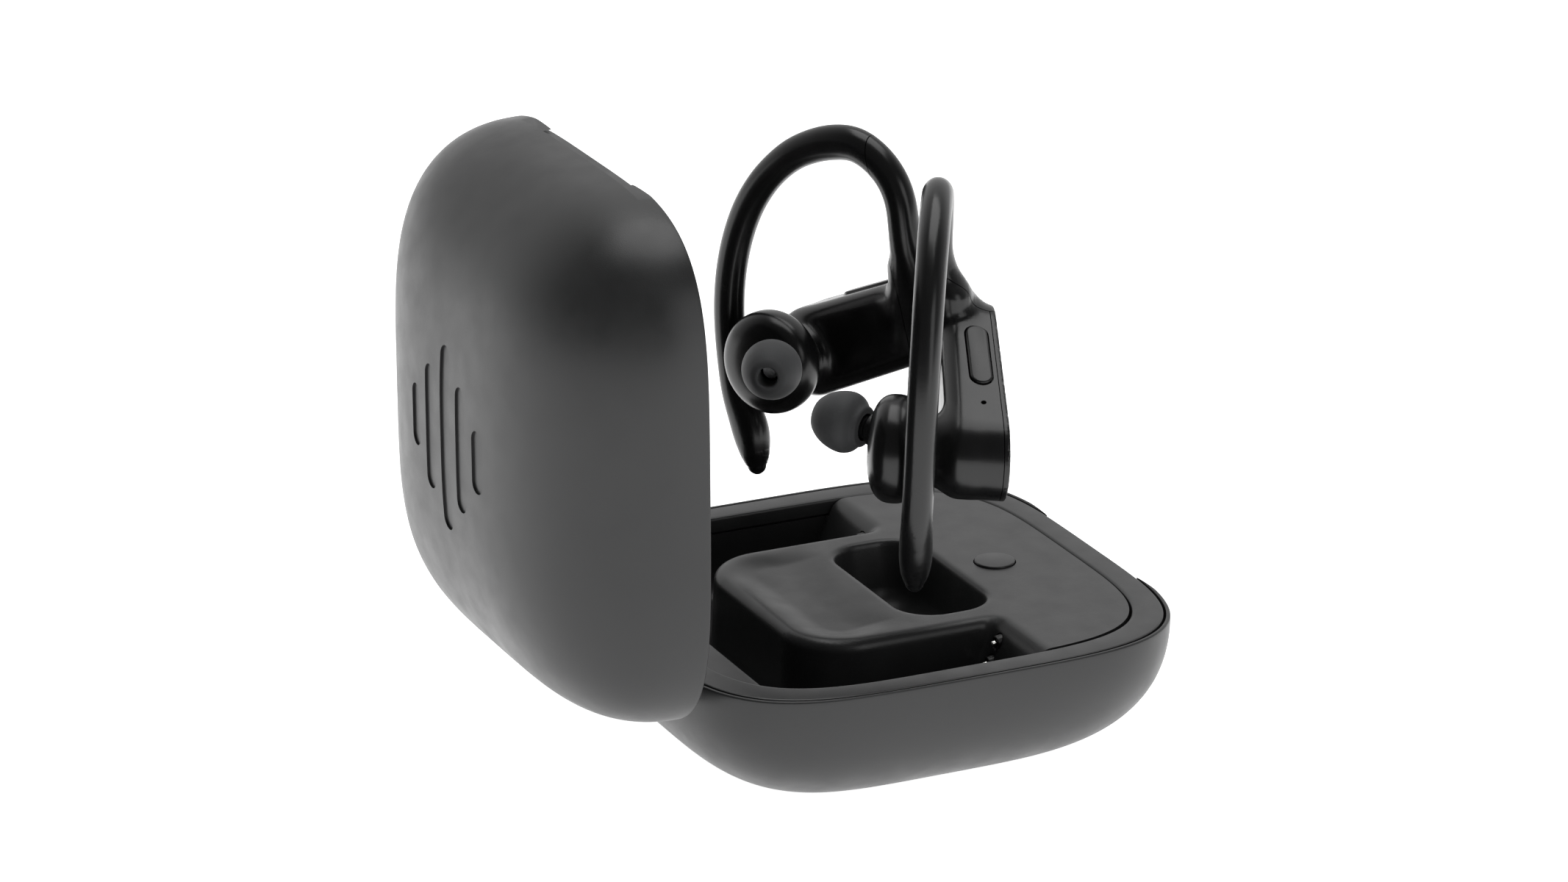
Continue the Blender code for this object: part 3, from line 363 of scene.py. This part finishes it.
rings = [squircle(i, LID_Z + d) for i, d in
         pillow(RIM_INNER - 0.95, DEPTH - 2.9, 22, stop=0.9999, start=FRAME_DEPTH)[::-1]]
rings += [squircle(i, LID_Z + d) for i, d in (
    (edge_out, FRAME_DEPTH), (edge_out, 0.26), (edge_out + 0.04, 0.1), (edge_out + 0.14, 0.02),
    (edge_out + 0.3, 0), (edge_in - 0.55, 0), (edge_in - 0.2, 0.06), (edge_in - 0.04, 0.2))]
rings += [squircle(i, LID_Z + d) for i, d in
          pillow(RIM_INNER, DEPTH - 3.9, 30, stop=0.9999, start=0.4)]
liner = carve(raw(*skin(rings)), [
    block((-ARM_HALF - 0.4, HINGE_Y - 2.05, LID_Z - 2), (ARM_HALF + 0.4, HALF_Y + 3, LID_Z + 4))])
settle("lid_inside_liner", swing_mesh(liner), INNER, "lid", ("lid_liner",))


# ------------------------------------------------------------------ smooth solids
def meet(a, b, r):
    """Where both solids are, with the shared edge rounded to radius r."""
    return (np.minimum(np.maximum(a, b), -r)
            + np.hypot(np.maximum(a + r, 0), np.maximum(b + r, 0)))


def join(a, b, k):
    """Both solids together, flowing into each other over a distance k."""
    h = np.maximum(k - abs(a - b), 0) / k
    return np.minimum(a, b) - h * h * k / 4


def less(a, b, r):
    return meet(a, -b, r)


def net(field, low, high, cell):
    """A closed quad mesh where a solid's field is zero, each point pulled onto the surface."""
    low, high = np.array(low, float), np.array(high, float)
    step = 4
    blocks = np.ceil((high - low) / (cell * step)).astype(int) + 1
    n = blocks * step
    coarse_at = [low[k] + cell * step * (np.arange(blocks[k]) + 0.5) - cell / 2 for k in range(3)]
    grid = np.stack(np.meshgrid(*coarse_at, indexing="ij"), -1)
    coarse = field(grid.reshape(-1, 3)).reshape(blocks)
    full = coarse.repeat(step, 0).repeat(step, 1).repeat(step, 2)
    near = abs(full) < cell * step * 1.6
    at = np.argwhere(near)
    full[near] = field(low + at * cell)
    inside = full < 0
    core = np.zeros(n - 1, int)
    for dx in (0, 1):
        for dy in (0, 1):
            for dz in (0, 1):
                core += inside[dx:n[0] - 1 + dx, dy:n[1] - 1 + dy, dz:n[2] - 1 + dz]
    mixed = (core > 0) & (core < 8)
    index = np.full(mixed.shape, -1)
    cells = np.argwhere(mixed)
    index[mixed] = np.arange(len(cells))
    p = low + (cells + 0.5) * cell
    home, e = p.copy(), cell * 0.05
    for _ in range(7):
        d = field(p)
        g = np.stack([field(p + e * np.eye(3)[k]) - field(p - e * np.eye(3)[k])
                      for k in range(3)], 1) / (2 * e)
        p = p - (d / np.maximum((g * g).sum(1), 0.05))[:, None] * g
        p = home + np.clip(p - home, -cell * 0.9, cell * 0.9)
    faces = []
    for axis in range(3):
        one, two = [k for k in range(3) if k != axis]
        near_end = inside.take(range(n[axis] - 1), axis)
        far_end = inside.take(range(1, n[axis]), axis)
        crossing = np.argwhere(near_end != far_end)
        ok = ((crossing[:, one] > 0) & (crossing[:, two] > 0)
              & (crossing[:, one] < n[one] - 1) & (crossing[:, two] < n[two] - 1))
        crossing = crossing[ok]
        quad = []
        for a, b in ((-1, -1), (0, -1), (0, 0), (-1, 0)):
            c = crossing.copy()
            c[:, one] += a
            c[:, two] += b
            quad.append(index[c[:, 0], c[:, 1], c[:, 2]])
        quad = np.stack(quad, 1)
        flip = near_end[tuple(crossing.T)] == (axis == 1)
        quad[flip] = quad[flip][:, ::-1]
        faces.append(quad)
    return p, np.concatenate(faces)


# ------------------------------------------------------------------ tray
DECK_Y, LEAN, SHELF_Y, SHELF_DROP, TRENCH = -12.0, 0.45, 27.0, 2.3, 12.0
ISLAND_HALF, ISLAND_REAR, ISLAND_R = HALF_X - 18.95, 17.6, 9.0
POCKET_X, POCKET_YH, POCKET_Y, POCKET_DEEP = 15.1, 7.4, -7.95, 10.0


def within(x, y, inset):
    a, b = HALF_X - inset, HALF_Y - inset
    size = ((abs(x) / a) ** POWER + (abs(y) / b) ** POWER + 1e-12) ** (1 / POWER)
    return (size - 1) * np.minimum(a, b)


def plate(x, y, half_x, half_y, radius, cx, cy):
    qx, qy = abs(x - cx) - (half_x - radius), abs(y - cy) - (half_y - radius)
    return np.hypot(np.maximum(qx, 0), np.maximum(qy, 0)) + np.minimum(np.maximum(qx, qy), 0) - radius


def tray_field(p):
    x, y, z = p[:, 0], p[:, 1], p[:, 2] - RIM_Z
    deep = -z
    outline = plate(x, y, ISLAND_HALF, (ISLAND_REAR + 30) / 2, ISLAND_R, 0, (ISLAND_REAR - 30) / 2)
    # the island sags a little inside its rolled edge, and the sag fades out towards the deck
    t = np.clip((-outline - 1.8) / 4.5, 0, 1) * np.clip((y + 1.0) / 9.0, 0, 1)
    top = -0.7 * t * t * (3 - 2 * t)
    solid = meet(within(x, y, 3.4), z - top, 0.3)
    solid = meet(solid, -14.0 - z, 0.3)
    lean = math.hypot(1, LEAN)
    slope = (DECK_Y + LEAN * deep - y) / lean
    wall = within(x, y, RIM_INNER + 0.012 * np.clip(deep - 5, 0, 20) ** 2.6)
    island = meet(outline - 0.045 * deep, z - 8.0, 0.5)
    trench = meet(meet(meet(wall, slope, 0.12), -TRENCH - z, 2.0), y - SHELF_Y + 0.05, 0.2)
    trench = less(trench, island, 1.6)
    ledge = meet(meet(within(x, y, RIM_INNER), SHELF_Y - 3 - y, 0.3), -SHELF_DROP - z, 0.25)
    ledge = less(ledge, island, 0.3)
    lower = meet(np.minimum(trench, ledge), z - 9.0, 0.3)
    solid = less(solid, lower, 1.5)
    taper = 0.16 * deep
    pocket = plate(x, y, POCKET_X - 0.2, POCKET_YH - 0.2, 5.8, 0, POCKET_Y) + taper
    pocket = meet(meet(pocket, -POCKET_DEEP - z, 3.2), z - 9.0, 0.3)
    solid = less(solid, pocket, 0.6)
    hollow = meet(plate(x, y, 20, 5.1, 0.5, 0, -22.9), z + 3.4, 0.2)
    solid = less(solid, hollow, 0.2)
    back = meet(meet(plate(x, y, EAR_OUTER + 0.5, 10, 0.3, 0, HINGE_Y + 4.6), -6.2 - z, 0.2),
                z - 9.0, 0.2)
    port = meet(plate(x, y, 5.2, 12, 0.3, 0, port_y + 3.8), z + PORT_DROP - 2.2, 0.2)
    return less(less(solid, back, 0.2), port, 0.2)


verts, faces = net(tray_field, (-36.4, -36.4, RIM_Z - 15), (36.4, 36.4, RIM_Z + 1.2), 0.46)
tray_mesh = raw(verts, [tuple(f) for f in faces.tolist()])
outline = skin([squircle(i, RIM_Z + z) for i, z in (
    (9.0, -13.99), (6.0, -12.0), (4.3, -9.0), (3.4, -6.0), (3.4, -LIP_DEPTH), (TRAY_TOP, -LIP_DEPTH),
    (TRAY_TOP, 3.0))])
tray_mesh = carve(tray_mesh, [outline], "INTERSECT")
holes = [turn((0, -21.8, RIM_Z - 6), (0, 0, 1), [(3.15, 0), (3.15, 8)], 72)]
AXIS_OUT = (0.0, 0.985, -0.17)
for side in (-1, 1):
    for drop in (2.55, 5.5):
        at = (side * 22.4, DECK_Y + LEAN * drop, RIM_Z - drop)
        holes.append(turn(at, AXIS_OUT, [(1.12, -3.6), (1.12, 3.0)], 40))
tray_mesh = carve(tray_mesh, holes)
settle("tray_moulding", tray_mesh, TRAY, "base", ("tray",), crease=50)

verts, faces = turn((0, -21.8, RIM_Z), (0, 0, 1), soften(
    [(0, -3.1), (1.2, -3.1), (1.2, -1.3), (2.98, -1.3), (2.98, 0.32), (0, 0.35)], 0.22), 72)
piece("deck_button", verts, faces, TRAY, "case_button", ("case_button",), 50)
for side, tag in ((-1, "left"), (1, "right")):
    for number, drop in enumerate((2.55, 5.5), 1):
        at = (side * 22.4, DECK_Y + LEAN * drop, RIM_Z - drop)
        profile = soften([(0.6, -1.3), (0.95, -1.3), (0.95, 0.35), (0.6, 0.35), (0.6, -1.3)], 0.15)
        verts, faces = turn(at, AXIS_OUT, profile[1:-1], 40, loop=True)
        piece(f"seat_ring_{tag}_{number}", verts, faces, SEAT, "base",
              (f"contact_seat_{tag}_{number}",), 50)
        profile = soften([(0, -2.3), (0.37, -2.3), (0.37, 1.05), (0, 1.22)], 0.22, 5)
        verts, faces = turn(at, AXIS_OUT, profile, 32)
        piece(f"contact_tip_{tag}_{number}", verts, faces, PLATED, f"contact_pin_{tag}_{number}",
              (f"contact_pin_{tag}_{number}",), 60)

# ------------------------------------------------------------------ earbuds
REAR, FRONT = (-1.6, 28.1, 6.6), (-20.5, 37.0, 6.2)
COVER_T, POD, POD_R, POD_HALF = 0.85, (-0.4, -3.8, 28.4), 7.7, 3.9
SEAM, SEAM_UP = np.array((-20.61, 0, 37.4)), np.array((0.233, 0, 0.972))
SEAM_N = np.array((-0.972, 0, 0.233))
TIP_BASE, TIP_AXIS = (-3.6, -7.2, 29.9), (-0.46, -0.885, 0.03)
PUSH_AXIS = (-0.148, 0.989, 0)
# (along, height, out, half thickness in the plane, half thickness across)
HOOK = np.array([
    (-21.6, 38.6, 4.1, 4.9, 3.3), (-21.8, 41.6, 3.5, 4.3, 3.15), (-21.3, 44.6, 2.2, 3.35, 2.85),
    (-20.7, 47.6, 0.9, 2.75, 2.55), (-20.5, 50.5, 0.15, 2.4, 2.3), (-20.2, 52.6, 0, 2.3, 2.25),
    (-19.7, 55.3, 0, 2.3, 2.25), (-18.2, 58.3, 0, 2.35, 2.25), (-15.4, 60.9, 0, 2.45, 2.25),
    (-11.5, 62.5, 0, 2.55, 2.25), (-7.3, 62.0, 0, 2.6, 2.25), (-3.9, 60.8, 0, 2.5, 2.25),
    (-0.6, 59.0, 0, 2.4, 2.25), (2.4, 56.4, 0, 2.3, 2.2), (4.7, 53.7, 0, 2.3, 2.2),
    (6.8, 50.3, 0, 2.3, 2.2), (8.4, 46.4, 0, 2.3, 2.2), (9.5, 42.2, 0, 2.3, 2.2),
    (10.1, 37.8, 0, 2.3, 2.2), (10.2, 33.6, 0, 2.3, 2.2), (9.9, 29.6, 0, 2.3, 2.2),
    (9.3, 25.5, 0, 2.32, 2.2), (8.6, 22.0, 0, 2.4, 2.2), (7.7, 19.6, 0, 2.6, 2.25),
    (6.5, 17.5, 0, 2.95, 2.35), (5.6, 15.2, 0, 3.0, 2.4), (5.0, 12.8, 0, 2.5, 2.2),
    (4.6, 11.0, 0, 1.8, 1.7), (4.45, 10.2, 0, 1.15, 1.1)])


def flowing(points, per=12, spread=1.3):
    """A smooth line through the points, with its small wobbles ironed out."""
    p = np.vstack([2 * points[0] - points[1], points, 2 * points[-1] - points[-2]])
    made = []
    for a, b, c, d in zip(p, p[1:], p[2:], p[3:]):
        for t in np.arange(per) / per:
            made.append(0.5 * (2 * b + (c - a) * t + (2 * a - 5 * b + 4 * c - d) * t * t
                               + (3 * b - 3 * c + d - a) * t ** 3))
    made.append(points[-1])
    line = np.array(made)
    run = np.r_[0, np.cumsum(np.linalg.norm(np.diff(line[:, :3], axis=0), axis=1))]
    want = np.linspace(0, run[-1], 340)
    line = np.stack([np.interp(want, run, line[:, k]) for k in range(5)], 1)
    weight = np.exp(-((want[:, None] - want[None]) / spread) ** 2 / 2)
    edge = np.minimum(np.minimum(want, run[-1] - want) / (2.5 * spread), 1)[:, None]
    return line * (1 - edge) + (weight @ line / weight.sum(1, keepdims=True)) * edge


LINE = flowing(HOOK)
LINE_AT = LINE[:, (0, 2, 1)]


def tube_field(p):
    """Distance to the hook: the nearest point of its line, then the oval round it."""
    out = np.empty(len(p))
    for start in range(0, len(p), 12000):
        q = p[start:start + 12000]
        gap = ((q * q).sum(1)[:, None] - 2 * q @ LINE_AT.T + (LINE_AT * LINE_AT).sum(1)[None])
        k = np.clip(gap.argmin(1), 1, len(LINE) - 2)
        best = None
        for first in (k - 1, k):
            a, b = LINE_AT[first], LINE_AT[first + 1]
            along = b - a
            t = np.clip(((q - a) * along).sum(1) / (along * along).sum(1), 0, 1)
            half_in = LINE[first, 3] * (1 - t) + LINE[first + 1, 3] * t
            half_out = LINE[first, 4] * (1 - t) + LINE[first + 1, 4] * t
            off = q - (a + along * t[:, None])
            off[:, 1] *= half_in / half_out
            d = np.linalg.norm(off, axis=1) - half_in
            best = d if best is None else np.minimum(best, d)
        out[start:start + 12000] = best
    return out


def face_in(u):
    return 3.0 + 0.10 * u


def face_out(u):
    return 11.8 + 0.15 * u


def body_field(p):
    u, v, w = p[:, 0], p[:, 1], p[:, 2]
    du, dw = FRONT[0] - REAR[0], FRONT[1] - REAR[1]
    h = np.clip(((u - REAR[0]) * du + (w - REAR[1]) * dw) / (du * du + dw * dw), 0, 1)
    side = np.hypot(u - REAR[0] - du * h, w - REAR[1] - dw * h) - (REAR[2] + (FRONT[2] - REAR[2]) * h)
    body = meet(side, (face_in(u) - v) / 1.005, 2.4)
    body = meet(body, (v - face_out(u)) / 1.011, 0.35)
    stem = meet(np.hypot(u + 1.2, w - 28.1) - 4.85, 0.42 - v, 0.25)
    stem = meet(stem, v - 7, 0.3)
    body = join(body, stem, 2.6)
    # a rib runs on from the hook's leg down the inner face
    rib_t = np.clip((44 - w) / 15.0, 0, 1)
    rib = np.hypot(u + 19.0, (v - 2.6 - 0.6 * rib_t)) - 2.0 * (1 - 0.35 * rib_t)
    rib = meet(rib, 32.2 - w, 1.2)
    rib = meet(rib, w - 46, 1.0)
    return join(body, rib, 1.1)


def bud_field(p):
    tube, body = tube_field(p), body_field(p)
    near = np.clip((-6 - p[:, 0]) / 6, 0, 1)
    return join(body, tube, 0.4 + 2.8 * near)


# the net is laid square to the neck seam, so that the seam cuts cleanly
tilt = np.array([SEAM_N, (0, 1, 0), SEAM_UP])
tilt[2] /= np.linalg.norm(tilt[2])
tilt[0] = np.cross(tilt[1], tilt[2])


def tilted_field(q):
    return bud_field(q @ tilt)


corners = np.array([(u, v, w) for u in (-28.5, 13.5) for v in (-3.2, 13.4) for w in (8.2, 66.0)])
spread = corners @ tilt.T
bud_verts, bud_faces = net(tilted_field, spread.min(0), spread.max(0), 0.30)
bud_verts = bud_verts @ tilt
bud_mesh = raw(bud_verts, [tuple(f) for f in bud_faces.tolist()])


def sliced(mesh, cuts):
    """What is left of a closed mesh behind each (point, normal) plane, its cuts closed flat."""
    bm = bmesh.new()
    bm.from_mesh(mesh)
    for point, normal in cuts:
        bmesh.ops.bisect_plane(bm, geom=bm.verts[:] + bm.edges[:] + bm.faces[:], dist=1e-7,
                               plane_co=Vector(point) * MM, plane_no=Vector(normal),
                               clear_outer=True)
        bmesh.ops.holes_fill(bm, edges=[e for e in bm.edges if e.is_boundary], sides=0)
    made = bpy.data.meshes.new("slice")
    bm.to_mesh(made)
    bm.free()
    return made


# The cuts are unbounded planes. The seam plane also passes through the hook's arch, so the
# arch and tail fall on the housing's side of it and the hook shows a hairline gap there.
SEAM_GAP, COVER_GAP = 0.07, 0.06
cover_n = np.array((-0.15, 1.0, 0)) / math.hypot(0.15, 1)
cover_at = np.array((0, face_out(0), 0)) - cover_n * COVER_T
hook_mesh = sliced(bud_mesh, [(SEAM + SEAM_N * SEAM_GAP, -SEAM_N)])
housing_mesh = sliced(bud_mesh, [(SEAM - SEAM_N * SEAM_GAP, SEAM_N),
                                 (cover_at - cover_n * COVER_GAP, cover_n)])
cover_mesh = sliced(bud_mesh, [(SEAM - SEAM_N * SEAM_GAP, SEAM_N),
                               (cover_at + cover_n * COVER_GAP, -cover_n)])


ROCKER_MID = 13.0           # along the body from its rear end
ROCKER_IN = 3.2             # from the outer face to the middle of the rocker
ROCKER_HALF = (5.8, 1.55)   # half length and half width
length = math.hypot(FRONT[0] - REAR[0], FRONT[1] - REAR[1])
du, dw = (FRONT[0] - REAR[0]) / length, (FRONT[1] - REAR[1]) / length


def rocker_ring(rise, grow=0.0, steps=14):
    """Outline of the rocker at one height above the body's upper edge."""
    half_len, half_wide = ROCKER_HALF
    ring = []
    for sign in (1, -1):
        for k in range(steps + 1):
            t = -math.pi / 2 + math.pi * k / steps + (0 if sign > 0 else math.pi)
            o = ROCKER_MID + sign * (half_len - half_wide) + (half_wide + grow) * math.cos(t)
            r = REAR[2] + (FRONT[2] - REAR[2]) * o / length + rise
            u = REAR[0] + du * o + dw * r
            ring.append((u, face_out(u) - ROCKER_IN + (half_wide + grow) * math.sin(t),
                         REAR[1] + dw * o - du * r))
    return np.array(ring)


housing_mesh = carve(housing_mesh, [
    skin([rocker_ring(-1.25, 0.2), rocker_ring(3.0, 0.2)]),
    turn((-3.2, 8.2, 33.0), (0.43, 0, 0.9), [(0.4, 0), (0.4, 6)], 24)])
u0, w0 = REAR[0], REAR[1]
cover_mesh = carve(cover_mesh, [
    turn((u0, face_out(u0), w0), PUSH_AXIS, [(3.45, -4), (3.45, 4)], 64)])

# world placing of each earbud, from its rocker's axis and pivot in the record
r = REAR[2] + (FRONT[2] - REAR[2]) * ROCKER_MID / length - 0.3
pivot_u = REAR[0] + du * ROCKER_MID + dw * r
PIVOT_LOCAL = np.array((pivot_u, face_out(pivot_u) - ROCKER_IN, REAR[1] + dw * ROCKER_MID - du * r))
BUDS = {}
for side, tag in ((-1, "left"), (1, "right")):
    rocker = joints[f"volume_rocker_{tag}_rock"]
    out = np.array(rocker["axis"], float)
    out /= np.linalg.norm(out)
    lean, yaw = math.asin(-out[2]), math.atan2(side * out[0], -out[1])
    along = np.array((math.cos(yaw) * side, math.sin(yaw), 0))
    rise = np.array((side * math.sin(yaw) * math.sin(lean), -math.cos(yaw) * math.sin(lean),
                     math.cos(lean)))
    axes = np.stack([along, out, rise], 1)
    BUDS[tag] = (side, axes, np.array(rocker["pos_m"]) / MM - axes @ PIVOT_LOCAL)


def stand(tag, verts):
    side, axes, home = BUDS[tag]
    return np.asarray(verts, float) @ axes.T + home


def bud_piece(name, tag, mesh_or_shape, mat, node, body=None, crease=40):
    if isinstance(mesh_or_shape, tuple):
        verts, faces = mesh_or_shape
        mesh = raw(stand(tag, verts), faces)
    else:
        mesh = mesh_or_shape.copy()
        co = np.array([v.co for v in mesh.vertices]) / MM
        mesh.vertices.foreach_set("co", (stand(tag, co) * MM).astype(np.float32).ravel())
        if np.linalg.det(BUDS[tag][1]) < 0:
            mesh.flip_normals()
        mesh.update()
    return settle(f"{name}_{tag}", mesh, mat, body or "earbud_" + tag,
                  (f"{node}_{tag}",), crease)


pod_profile = []
for k in range(41):
    t = -math.pi / 2 + math.pi * k / 40
    c, s = max(math.cos(t), 0.0), math.sin(t)
    pod_profile.append((POD_R * c ** (2 / 2.6), POD_HALF * math.copysign(abs(s) ** (2 / 2.6), s)))
tip_profile = soften([(2.0, 1.2), (2.9, 1.2), (3.1, 2.0), (4.1, 2.9), (4.45, 4.0), (4.35, 5.2),
                      (3.95, 6.6), (3.3, 7.8), (2.4, 8.8), (1.45, 9.1), (1.45, 5.2), (2.0, 4.5),
                      (2.0, 1.2)], 1.0, 6)
for tag in ("left", "right"):
    bud_piece("hook_and_neck", tag, hook_mesh, GLOSS, "ear_hook")
    bud_piece("bud_body", tag, housing_mesh, GLOSS, "bud_housing")
    bud_piece("bud_outer_plate", tag, cover_mesh, COVER, "bud_cover")
    rocker = skin([rocker_ring(-0.85), rocker_ring(0.12),
                   rocker_ring(0.28, -0.05), rocker_ring(0.37, -0.15),
                   rocker_ring(0.40, -0.32)])
    bud_piece("rocker_key", tag, rocker, KEY, "volume_rocker",
              "volume_rocker_" + tag)
    bud_piece("push_key", tag, turn((u0, face_out(u0), w0), PUSH_AXIS, soften(
        [(0, -1.5), (3.3, -1.5), (3.3, 0.33), (0, 0.35)], 0.3, 5), 72), KEY,
        "push_button", "push_button_" + tag)
    bud_piece("pod_shell", tag, turn(POD, (0, 1, 0), pod_profile, 96), GLOSS,
              "bud_pod")
    bud_piece("nozzle_tube", tag, turn(TIP_BASE, TIP_AXIS, soften(
        [(0, -1.2), (2.3, -1.2), (2.3, 0.3), (1.7, 0.6), (1.7, 4.2), (0, 4.2)], 0.25), 48), GLOSS,
        "nozzle")
    bud_piece("silicone_tip", tag, turn(TIP_BASE, TIP_AXIS, tip_profile[1:], 72, loop=True), SOFT,
              "ear_tip", crease=60)
for mesh in (hook_mesh, housing_mesh, cover_mesh, bud_mesh):
    bpy.data.meshes.remove(mesh)

# ------------------------------------------------------------------ CAD nodes that stay
FINISH = {"hinge_arm": SHELL, "hinge_bracket": STEEL, "hinge_pin": STEEL, "charge_port": STEEL,
          "button_switch": STEEL, "button_board": BOARD, "main_board": BOARD,
          "case_battery": WRAP, "status_light": PIPE}
for name, node in nodes.items():
    if node.hide_render:
        continue
    mat = FINISH.get(name)
    if mat is None:
        mat = (MESH if name.startswith("nozzle_mesh") else WRAP if "battery" in name
               else STEEL if "magnet" in name or "driver" in name else GLOSS)
    node.data.materials.clear()
    node.data.materials.append(mat)

# ------------------------------------------------------------------ floor, light and camera
scene = bpy.context.scene
floor_mesh = bpy.data.meshes.new("floor")
floor_mesh.from_pydata([(-6, -6, 0), (6, -6, 0), (6, 6, 0), (-6, 6, 0)], [], [(0, 1, 2, 3)])
floor = bpy.data.objects.new("floor", floor_mesh)
floor.location.z = -0.0001
scene.collection.objects.link(floor)
pale = bpy.data.materials.new("pale_floor")
pale.use_nodes = True
pale.node_tree.nodes["Principled BSDF"].inputs["Base Color"].default_value = (0.93, 0.93, 0.93, 1)
pale.node_tree.nodes["Principled BSDF"].inputs["Roughness"].default_value = 0.9
pale.node_tree.nodes["Principled BSDF"].inputs["Emission Color"].default_value = (1, 1, 1, 1)
pale.node_tree.nodes["Principled BSDF"].inputs["Emission Strength"].default_value = 0.95
floor_mesh.materials.append(pale)

world = bpy.data.worlds.new("studio")
scene.world = world
world.use_nodes = True
tree = world.node_tree
tree.nodes.clear()
new, link = tree.nodes.new, tree.links.new
result, mix, rays = (new("ShaderNodeOutputWorld"), new("ShaderNodeMixShader"),
                     new("ShaderNodeLightPath"))
studio, backdrop = new("ShaderNodeBackground"), new("ShaderNodeBackground")
backdrop.inputs["Strength"].default_value = 1.0
backdrop.inputs["Color"].default_value = (1, 1, 1, 1)
where, facing, level = (new("ShaderNodeTexCoord"), new("ShaderNodeVectorMath"),
                        new("ShaderNodeMapRange"))
# the studio's white wall stands on one side, and fades round to a dark room on the other
facing.operation = "DOT_PRODUCT"
facing.inputs[1].default_value = (-0.849, 0.401, 0.344)
level.interpolation_type = "SMOOTHSTEP"
for key, value in (("From Min", -0.75), ("From Max", 0.55), ("To Min", 1.0), ("To Max", 0.10)):
    level.inputs[key].default_value = value
link(where.outputs["Generated"], facing.inputs[0])
link(facing.outputs["Value"], level.inputs["Value"])
link(level.outputs["Result"], studio.inputs["Strength"])
link(rays.outputs["Is Camera Ray"], mix.inputs[0])
link(studio.outputs[0], mix.inputs[1])
link(backdrop.outputs[0], mix.inputs[2])
link(mix.outputs[0], result.inputs[0])


def softbox(name, at, look, size, power):
    light = bpy.data.lights.new(name, "AREA")
    light.shape, light.size, light.size_y, light.energy = "RECTANGLE", size[0], size[1], power
    obj = bpy.data.objects.new(name, light)
    obj.location = at
    obj.rotation_euler = (Vector(look) - Vector(at)).to_track_quat("-Z", "Y").to_euler()
    scene.collection.objects.link(obj)


softbox("overhead", (0.1, -0.1, 0.9), (0, 0, 0.03), (0.7, 0.7), 3.4)
softbox("near_side", (-0.75, -0.25, 0.30), (0, 0, 0.05), (0.35, 0.55), 0.75)

camera_data = bpy.data.cameras.new("camera")
camera = bpy.data.objects.new("camera", camera_data)
scene.collection.objects.link(camera)
camera_data.lens, camera_data.sensor_width = 137.52, 36.0
camera_data.clip_start, camera_data.clip_end = 0.01, 30
camera.matrix_world = Matrix((
    (-0.42725, 0.31143, -0.84881, -0.725678), (-0.90414, -0.14717, 0.40110, 0.355227),
    (0.0, 0.93881, 0.34445, 0.341249), (0, 0, 0, 1)))
scene.camera = camera
scene.view_settings.view_transform = "Standard"
